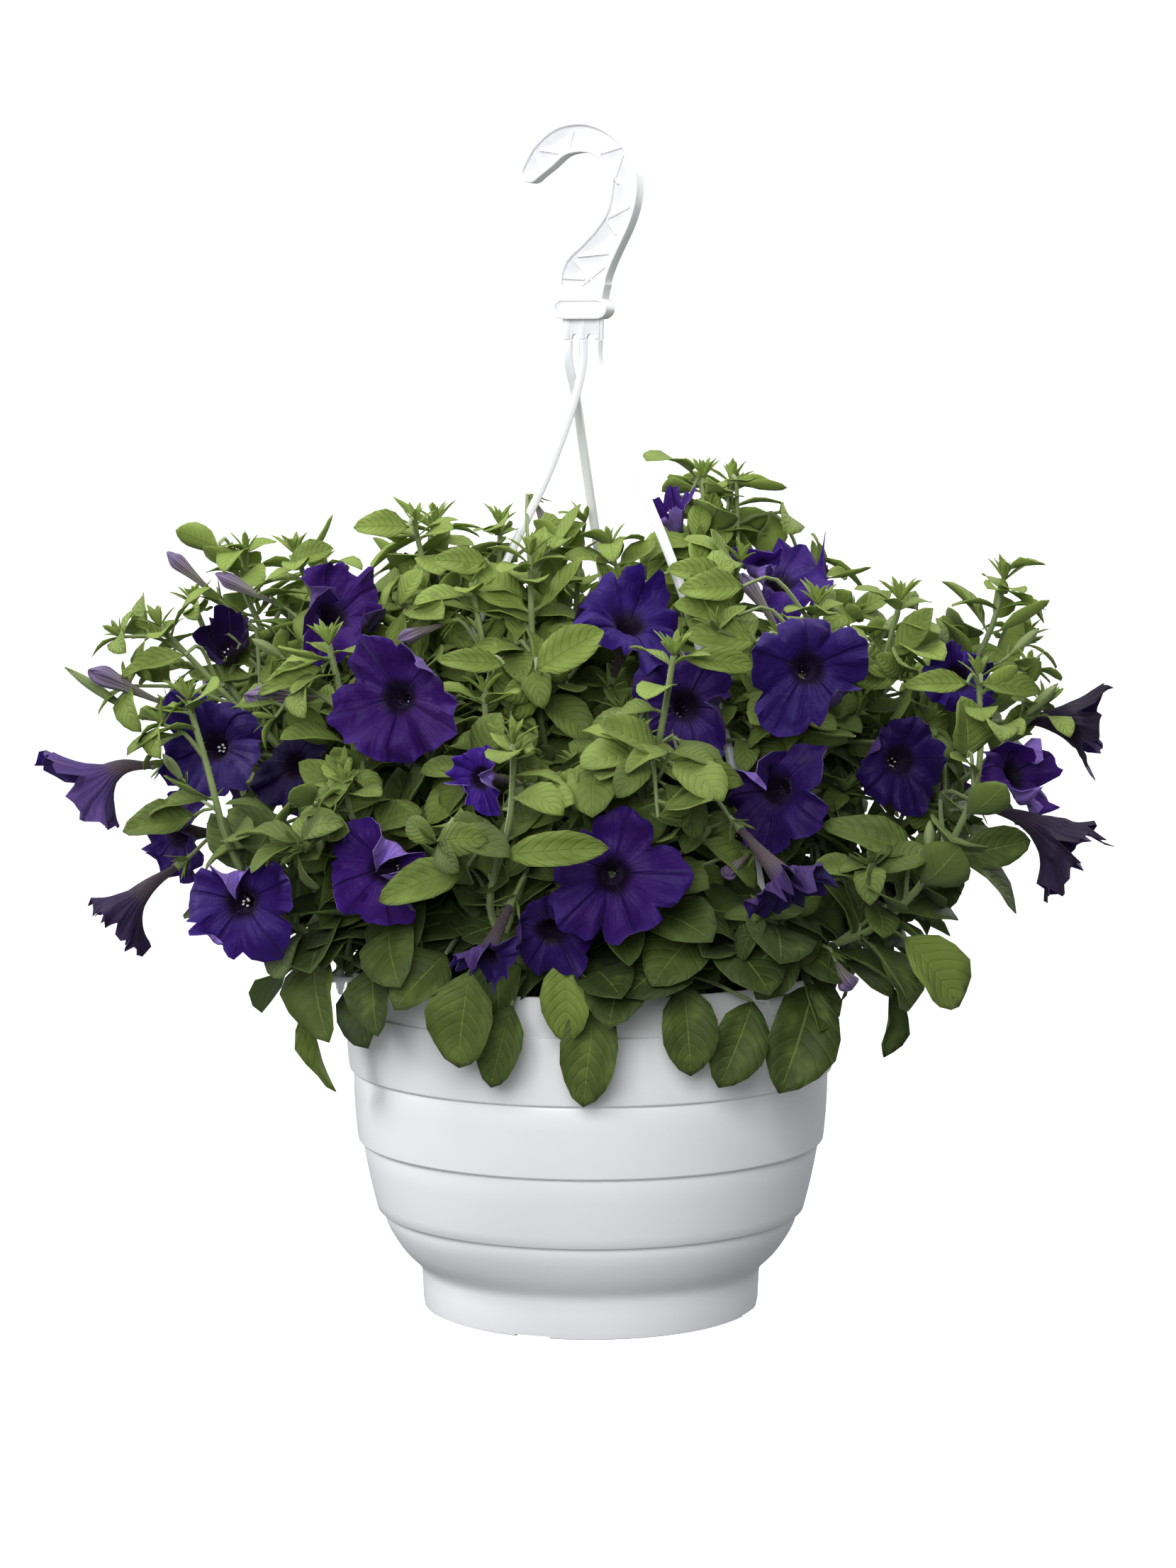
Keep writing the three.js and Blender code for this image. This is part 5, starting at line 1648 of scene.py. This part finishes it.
def grow_shoot(number, shapes, blooms):
    """One shoot: its stems with their hairs, and its leaves."""
    chance = random.Random(100 + number)
    plant = settings().plant
    tag = f"{number + 1:02d}"
    foliage = Foliage(shapes, blooms, chance)
    strands = Strands(f"shoot_{tag}")
    routes = stem_routes(number)
    for k, whole in enumerate(routes):
        last = 1 - TUFT / whole.length
        route = Route([whole.point(last * j / 14) for j in range(15)])
        thick = plant.stem * (0.75 if k else 1.0)
        strands.add(route, thick, STEM_TIP, 22 if k == 0 else 14)
        leaves_along(foliage, strands, route, number + 3 * k, 0.14 if k == 0 else 0.2)
        side_branches(foliage, strands, route, number + 5 * k)
        top, upright = route.point(1), (route.way(1) + UP * 1.2).normalized()
        spray(foliage, top, upright, TIP_RINGS, number, 1.0, True)
        for ring, (drop, turn) in enumerate(((5, 0.0), (15, 1.57))):
            node = whole.point(last - drop * MM / whole.length)
            spray(foliage, node, upright, COLLAR_RINGS[ring:ring + 1], number + turn, 0.85, True)
    for bloom in (b for b in blooms if b.shoot == number):
        strands.add(stalk_route(routes[0], bloom), *RADII["flower stalk"], 12)
        neck = Route([bloom.base - bloom.way * CALYX, bloom.base + bloom.way * 1.5 * MM])
        strands.add(neck, *RADII["neck"], 4, hairs=2.5)
        tube = Route([bloom.base, bloom.base + bloom.way * bloom.length * 0.5])
        strands.drawn.append((tube, *RADII["tube"], 1.6))
        sepals(foliage, bloom.base, bloom.way, SEPAL_LENGTH)
    for owner, share, base, tip, form in BUDS + FAR_BUDS:
        if owner == number:
            low, high = above_rim(base), above_rim(tip)
            way = (high - low).normalized()
            start = routes[0].point(share)
            bend = low - way * min(8 * MM, 0.4 * (low - start).length)
            strands.add(Route([start, bend, low]), *RADII["bud stalk"], 8)
            sepals(foliage, low, way, (8 if form == "green" else 12) * MM)
    for owner, stem, share, end in FILLS:
        if owner == number:
            fill_branch(foliage, strands, routes[stem], share, end)
    low_leaves(foliage, strands, routes[0])
    for row in SHOOTS[number].get("rim", []):
        set_leaf(foliage, strands, routes[0], (*row, chance.choice((0.0, 0.2, 0.5, 1.5))))
    for owner, *row in SINGLE_LEAVES:
        if owner == number:
            set_leaf(foliage, strands, routes[0], row)
    stems = strands.build(f"shoot_stems_{tag}", chance)
    finish_piece(stems, "leaf_green", [f"shoot_{tag}"])
    leaves = foliage.cluster.build(f"shoot_leaves_{tag}")
    coat(leaves, "leaf", "leaf_back")
    finish_piece(leaves, "leaf_green", [])


class BASKET_OT_shoots(bpy.types.Operator):
    """Grows the leafy shoots out of the soil, with the large leaves that hang over the rim"""
    bl_idname = "basket.shoots"
    bl_label = "Shoots"

    def execute(self, context):
        shapes = {name: leaf(name) for name in LEAF_FORMS if name not in ("narrow", "sepal")}
        shapes.update({name: leaf(name, 4, 2) for name in ("narrow", "sepal")})
        blooms = all_blooms()
        for number in range(len(SHOOTS)):
            grow_shoot(number, shapes, blooms)
        return {"FINISHED"}


# --- Flowers and buds ---

ROUND_FLOWER = 60
TUBE_RINGS = 8
LIMB_RINGS = 11
# How a flower has opened: depth of the notches between its lobes, the limb's slope at the
# throat, at its middle and at its edge in degrees (0 is flat, below 0 turned back), how
# ruffled it is, how long the limb is for its width, how far its edge sags, how far the tube
# bends down in degrees, and how far along the flower the limb begins (0 is by its width).
FLOWER_FORMS = {
    "star": (0.42, 58, 12, -12, 0.13, 1.06, 0.08, 0, 0),
    "open": (0.30, 58, 20, -8, 0.16, 1.08, 0.10, 0, 0),
    "flared": (0.36, 58, 20, -12, 0.26, 1.16, 0.08, 0, 0),
    "bell": (0.08, 56, 46, 34, 0.20, 1.72, 0.04, 35, 0.55),
    "droop": (0.12, 64, 60, 50, 0.26, 1.45, 0.04, 14, 0.60),
    "trumpet": (0.30, 70, 60, 44, 0.10, 1.95, 0.04, 8, 0.40),
    "young": (0.44, 76, 72, 60, 0.12, 1.90, 0.02, 0, 0.30),
}
HANGING = ("bell", "droop", "trumpet", "young")
TUBE_RADIUS = 1.5 * MM  # at the calyx
PETAL_THICKNESS = 0.32 * MM
# The flowers whose pale anthers can be seen, by number from 0.
FRESH = (3, 4, 27)
# Flowers with one lobe folded over to show its outside, and which way it points, as (right, up).
FOLDS = {3: (-0.4, 1.0), 8: (0.8, 1.0), 24: (-0.3, 1.0), 18: (-1.0, 0.7), 10: (1.0, 0.4),
         20: (0.2, 1.0), 25: (0.1, 1.0), 6: (-1.0, -0.2), 13: (-1.0, 0.3)}


def ease(low, high, value):
    share = clamp((value - low) / (high - low))
    return share * share * (3 - 2 * share)


def limb_start(bloom):
    """The height at which the tube opens into the limb."""
    share = FLOWER_FORMS[bloom.form][8]
    return bloom.length * share if share else bloom.length - 0.35 * bloom.radius


def flower_columns(bloom, chance, down, folded_lobe):
    """For each direction round the flower, the (radius, height) of every ring along it."""
    notch, steep, middle, edge, ruffle, spread = FLOWER_FORMS[bloom.form][:6]
    tube = limb_start(bloom)
    throat, radius = min(5.6 * MM, 0.30 * bloom.radius), bloom.radius
    curls = [math.radians(chance.uniform(-24, 16)) for _ in range(5)]
    for folded, least, most in zip(chance.sample(range(5), 3), (110, 20, -95), (165, 80, -40)):
        curls[folded] = math.radians(chance.uniform(least, most))
    tilts = [chance.uniform(-30, 30) for _ in range(5)]
    if folded_lobe is not None:
        curls[folded_lobe] = math.radians(138)
        tilts[folded_lobe] = 0
    hanging = bloom.form in HANGING
    if hanging:
        curls = [0.1 * curl for curl in curls]
        tilts = [0.5 * tilt for tilt in tilts]
    sizes = [chance.uniform(0.86, 1.08) for _ in range(5)]
    phase = [chance.uniform(0, math.tau) for _ in range(4)]
    columns = []
    for k in range(ROUND_FLOWER):
        theta = math.tau * k / ROUND_FLOWER
        lobe = abs(math.cos(2.5 * theta))
        number = round(theta / math.tau * 5) % 5
        whole = sizes[number] * lobe + (1 - lobe) * 0.97
        reach = (radius - throat) * spread * (1.10 - notch * (1 - lobe ** 0.55)) * whole
        reach *= 1 + 0.07 * ease(0.93, 1.0, lobe)
        reach *= 1 + 0.025 * math.sin(13 * theta + phase[0]) + 0.012 * math.sin(23 * theta)
        spots = []
        for ring in range(TUBE_RINGS):
            share = ring / TUBE_RINGS
            spots.append((TUBE_RADIUS + (throat - TUBE_RADIUS) * share ** 1.7, tube * share))
        out, up = throat, tube
        for ring in range(LIMB_RINGS):
            share = ring / (LIMB_RINGS - 1)
            slope = steep + (middle + tilts[number] * lobe - steep) * ease(0.0, 0.45, share)
            slope += (edge - middle) * ease(0.5, 1.0, share)
            bend_at = (0.28, 0.62) if number == folded_lobe else (0.4, 0.9)
            angle = math.radians(slope) + curls[number] * lobe * ease(*bend_at, share)
            if hanging:
                low = math.cos(theta) * down.x + math.sin(theta) * down.y
                angle -= math.radians(12 * low) * ease(0.15, 0.8, share)
            if ring:
                out += math.cos(angle) * reach / (LIMB_RINGS - 1)
                up += math.sin(angle) * reach / (LIMB_RINGS - 1)
            wave = math.sin(5 * theta + phase[1]) * 0.55 + math.sin(12 * theta + phase[2]) * 0.6
            wave += math.sin(19 * theta + phase[3]) * 0.35
            vein = -0.035 * radius * share * (1 - share) * ease(0.93, 1.0, lobe) * 4
            spots.append((out, up + wave * ruffle * radius * share ** 1.8 + vein))
        columns.append(spots)
    return columns


def bent(spot, down, length, bend):
    """The spot of a flower along +Z when its tube bends towards down before it opens."""
    if not bend:
        return spot
    steps, place, angle = 16, Vector(), 0.0
    for k in range(steps):
        height = length * (k + 0.5) / steps
        if height > spot.z:
            break
        angle = bend * ease(0.35, 1.0, height / length)
        place += (UP * math.cos(angle) + down * math.sin(angle)) * length / steps
    rest = spot.z - min(k if height > spot.z else steps, steps) * length / steps
    along = UP * math.cos(angle) + down * math.sin(angle)
    below = down * math.cos(angle) - UP * math.sin(angle)
    level = Vector((spot.x, spot.y, 0))
    lean = level.dot(down)
    return place + along * rest + below * lean + (level - down * lean)


def open_flower(bloom, number, blank, anther):
    """The petals of one flower, and the anthers in its throat."""
    chance = random.Random(500 + number)
    sag = FLOWER_FORMS[bloom.form][6] * bloom.radius
    bend = math.radians(FLOWER_FORMS[bloom.form][7])
    way = bloom.way.copy()
    if bend:
        way.rotate(Quaternion(way.cross(UP).normalized(), bend * 0.45))
    turn = UP.rotation_difference(way) @ Quaternion(UP, chance.uniform(0, math.tau / 5))
    down = turn.inverted() @ (way * way.z - UP)
    down = Vector((down.x, down.y, 0)).normalized()
    folded_lobe = None
    if number in FOLDS:
        towards = Vector((FOLDS[number][0], 0, FOLDS[number][1]))
        spokes = [turn @ polar(1, math.tau * k / 5, 0) for k in range(5)]
        folded_lobe = max(range(5), key=lambda k: spokes[k].dot(towards))
    columns = flower_columns(bloom, chance, down, folded_lobe)
    hanging = bloom.form in HANGING
    crease = 0.20 if hanging else 0.46
    hue = chance.random()
    piece = linked(f"petals_{number + 1:02d}", blank.data.copy())
    piece.data.name = piece.name
    rings = TUBE_RINGS + LIMB_RINGS

    def place(share, ring):
        column = round(share * ROUND_FLOWER) % ROUND_FLOWER
        radius, height = columns[column][ring]
        spot = polar(radius, math.tau * column / ROUND_FLOWER, height)
        limb = max(0.0, (ring - TUBE_RINGS) / (rings - 1 - TUBE_RINGS))
        fold = noise.noise(spot * 34 + Vector((number * 3.1, 0, 0)))
        crumple = noise.noise(spot * 110 + Vector((0, number * 2.3, 0)))
        spot.z += (fold * crease + crumple * 0.15) * bloom.radius * limb ** 1.3
        if hanging:
            gather = 1 + (0.7 * fold + 0.35 * crumple) * limb
            spot.x, spot.y = spot.x * gather, spot.y * gather
        spot = bent(spot, down, limb_start(bloom), bend)
        spot.rotate(turn)
        spot += bloom.base
        spot.z -= sag * limb * limb
        return spot

    reshape(piece, place)
    # The flower's painted light and shade, for its face and its outside.
    face, back = FLOWER_LIGHT_AND_SHADE[number]
    for name, value in (("tone", hue), ("face", face), ("back", back)):
        layer = piece.data.attributes.new(name, "FLOAT", "POINT")
        layer.data.foreach_set("value", [value] * len(piece.data.vertices))
    coat(piece, "petal", "petal_back", "stamen")
    modify(piece, "SOLIDIFY", thickness=PETAL_THICKNESS, offset=-1.0, material_offset=1,
           material_offset_rim=1)
    smooth(piece, 80)
    anthers = Cluster()
    fresh = number in FRESH
    depth = 0.50 if fresh else 0.95
    mouth = bloom.base + bloom.way * (bloom.length - depth * bloom.radius)
    for k in range(5):
        out = spoke(bloom.way, math.tau * k / 5 + chance.uniform(-0.3, 0.3))
        spot = mouth + out * chance.uniform(1.3, 2.1) * MM + bloom.way * chance.uniform(-1, 1) * MM
        lean = (bloom.way + out * 0.4).normalized()
        size = (0.95 if fresh else 0.75) * MM
        anthers.add(anther, along_z(spot, lean, size, 0.66), 0.9 if fresh else 0.0, slot=2)
    return join(piece, anthers.build("anthers"))


def anther_shape():
    """An anther: two small pollen sacs side by side."""
    select_only()
    bpy.ops.mesh.primitive_ico_sphere_add(subdivisions=2, radius=1.0)
    piece = named("anther")
    for vertex in piece.data.vertices:
        vertex.co.x *= 1.15
        vertex.co.y *= 0.70 + 0.55 * abs(vertex.co.x)
        vertex.co.z *= 1.0 - 0.25 * (abs(vertex.co.x) < 0.3)
    return Shape(piece)


# Closed flowers, as (share of length, share of widest radius), the widest radius, and folds.
BUD_FORMS = {
    "green": ([(0, 0.35), (0.15, 0.6), (0.35, 0.9), (0.6, 1.0), (0.8, 0.75), (0.93, 0.4),
               (1, 0.05)], 2.8, 0.10, "stem"),
    "lilac": ([(0, 0.22), (0.2, 0.30), (0.45, 0.48), (0.65, 0.72), (0.8, 1.0), (0.92, 0.85),
               (1, 0.30)], 5.4, 0.30, "wilted"),
    "faded": ([(0, 0.26), (0.2, 0.36), (0.45, 0.55), (0.65, 0.80), (0.8, 1.0), (0.92, 0.72),
               (1, 0.22)], 4.2, 0.24, "wilted"),
}


def closed_flower(row, number):
    """A bud or a folded, fading flower: a spindle with five twisted folds."""
    _, _, base, tip, form = row
    stations, widest, folds, paint = BUD_FORMS[form]
    low, high = above_rim(base), above_rim(tip)
    way = (high - low).normalized()
    turn = UP.rotation_difference(way)
    rings = len(stations) + 2

    def place(share, ring):
        along, wide = stations[clamp(ring - 1, 0, len(stations) - 1)]
        closed = 0.0 if ring in (0, rings - 1) else 1.0
        angle = math.tau * share
        ridge = 1 + folds * math.cos(5 * angle + 2.4 * along + number) * ease(0.1, 0.9, along)
        radius = closed * wide * ridge * widest * MM
        droop = 1 + 0.05 * math.sin(3 * angle + number)
        spot = polar(radius, angle,
                     along * (high - low).length * (droop if 0.9 < along else 1))
        spot.rotate(turn)
        return low + spot

    piece = weld(reshape(tube_blank(f"bud_{number + 1:02d}", 20, rings), place))
    modify(piece, "SUBSURF", levels=1, render_levels=1)
    smooth(piece, 70)
    slot = "leaf_green" if form == "green" else "petal_violet"
    finish_piece(piece, slot, [], paint)


class BASKET_OT_flowers(bpy.types.Operator):
    """Opens the thirty trumpet flowers, each with its own lobes, ruffles and curls"""
    bl_idname = "basket.flowers"
    bl_label = "Flowers"

    def execute(self, context):
        blank = tube_blank("flower_blank", ROUND_FLOWER, TUBE_RINGS + LIMB_RINGS)
        if blank.data.polygons[0].normal.dot(blank.data.polygons[0].center) > 0:
            blank.data.flip_normals()
        anther = anther_shape()
        for number, bloom in enumerate(all_blooms()):
            petals = open_flower(bloom, number, blank, anther)
            finish_piece(petals, "petal_violet", [f"flower_{number + 1:02d}"])
        bpy.data.objects.remove(blank)
        return {"FINISHED"}


class BASKET_OT_buds(bpy.types.Operator):
    """Adds the green buds and the folded lilac ones"""
    bl_idname = "basket.buds"
    bl_label = "Buds"

    def execute(self, context):
        for number, row in enumerate(BUDS + FAR_BUDS):
            closed_flower(row, number)
        return {"FINISHED"}


# --- Stage ---

# The soft boxes, as (name, place, size, power). All of them aim at the middle of the basket.
SOFT_BOXES = [
    ("front_light", (-0.36, -2.0, 0.48), (1.1, 1.1), 38),
    ("left_light", (-1.85, 0.30, 0.52), (0.6, 0.9), 30),
    ("back_light", (1.3, 1.2, 0.45), (1.4, 1.4), 16),
    ("top_light", (0.0, 0.0, 1.3), (1.5, 1.3), 28),
]
LIGHTS_AIM = (0, 0, -0.38)
TRAY_SIZE = (18, 15, 7)  # the floor and the height of the walls that stand on it, in metres
TRAY_ROUNDING = 1.2
AIR_COLOUR, AIR_STRENGTH = (0.93, 0.96, 1.0, 1.0), 0.25


def soft_box(name, place, size, power):
    light = bpy.data.lights.new(name, "AREA")
    light.shape = "RECTANGLE"
    light.size, light.size_y = size
    light.energy = power
    lamp = linked(name, light)
    lamp.location = place
    towards = Vector(LIGHTS_AIM) - Vector(place)
    lamp.rotation_euler = towards.to_track_quat("-Z", "Y").to_euler()


def open_tray(low):
    """A floor at that height with four walls that curve up from it, seen from inside."""
    select_only()
    bpy.ops.mesh.primitive_cube_add(size=1.0)
    tray = named("studio_sweep")
    middle = Matrix.Translation((0, 0, low + TRAY_SIZE[2] / 2))
    tray.data.transform(middle @ Matrix.Diagonal((*TRAY_SIZE, 1)))
    with editing(tray):
        bpy.ops.mesh.select_mode(type="FACE")
        bpy.ops.mesh.select_all(action="DESELECT")
    for face in tray.data.polygons:
        face.select = face.normal.z > 0.5
    bpy.ops.object.mode_set(mode="EDIT")
    bpy.ops.mesh.delete(type="FACE")
    bpy.ops.mesh.select_mode(type="EDGE")  # tube_blank extrudes edges, so this stays on
    bpy.ops.object.mode_set(mode="OBJECT")
    with editing(tray):
        bpy.ops.mesh.flip_normals()
    modify(tray, "BEVEL", width=TRAY_ROUNDING, segments=24)
    return smooth(tray, 60)


class BASKET_OT_stage(bpy.types.Operator):
    """Sets up the pale floor with its walls, the soft lights and the camera"""
    bl_idname = "basket.stage"
    bl_label = "Stage"

    def execute(self, context):
        stage = settings().stage
        sweep = coat(open_tray(FOOT_Z - stage.drop), "floor")
        sweep.visible_diffuse = sweep.visible_glossy = sweep.visible_transmission = False

        world = bpy.data.worlds.new("studio_air")
        world.use_nodes = True
        air = world.node_tree.nodes["Background"]
        air.inputs["Color"].default_value = AIR_COLOUR
        air.inputs["Strength"].default_value = AIR_STRENGTH
        bpy.context.scene.world = world
        for box in SOFT_BOXES:
            soft_box(*box)

        camera = bpy.data.cameras.new("camera")
        camera.lens = stage.lens
        eye = linked("camera", camera)
        eye.location = stage.camera
        eye.rotation_euler = (math.radians(90) - stage.look_down, 0, 0)
        bpy.context.scene.camera = eye
        bpy.context.scene.view_settings.view_transform = "Standard"
        return {"FINISHED"}


# --- Panel and start ---

STEPS = (BASKET_OT_stage, BASKET_OT_pot, BASKET_OT_soil, BASKET_OT_hanger, BASKET_OT_shoots,
         BASKET_OT_flowers, BASKET_OT_buds)


class BASKET_PT_panel(bpy.types.Panel):
    """Lists the steps that build the basket"""
    bl_idname = "BASKET_PT_panel"
    bl_label = "Petunia basket"
    bl_space_type = "VIEW_3D"
    bl_region_type = "UI"
    bl_category = "Basket"

    def draw(self, context):
        for step in STEPS:
            self.layout.operator(step.bl_idname)
        for part in ("pot", "hanger", "plant", "stage"):
            group = getattr(context.scene.basket_settings, part)
            column = self.layout.column(heading=part.title())
            for name in group.__annotations__:
                column.prop(group, name)


CLASSES = (BasketPotSettings, BasketHangerSettings, BasketPlantSettings, BasketStageSettings,
           BasketSettings, *STEPS, BASKET_PT_panel)


def register():
    for kind in CLASSES:
        bpy.utils.register_class(kind)
    bpy.types.Scene.basket_settings = PointerProperty(type=BasketSettings)


def unregister():
    del bpy.types.Scene.basket_settings
    for kind in reversed(CLASSES):
        bpy.utils.unregister_class(kind)


def main():
    register()
    for step in STEPS:
        family, action = step.bl_idname.split(".")
        getattr(getattr(bpy.ops, family), action)()
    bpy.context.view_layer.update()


if __name__ == "__main__":
    main()
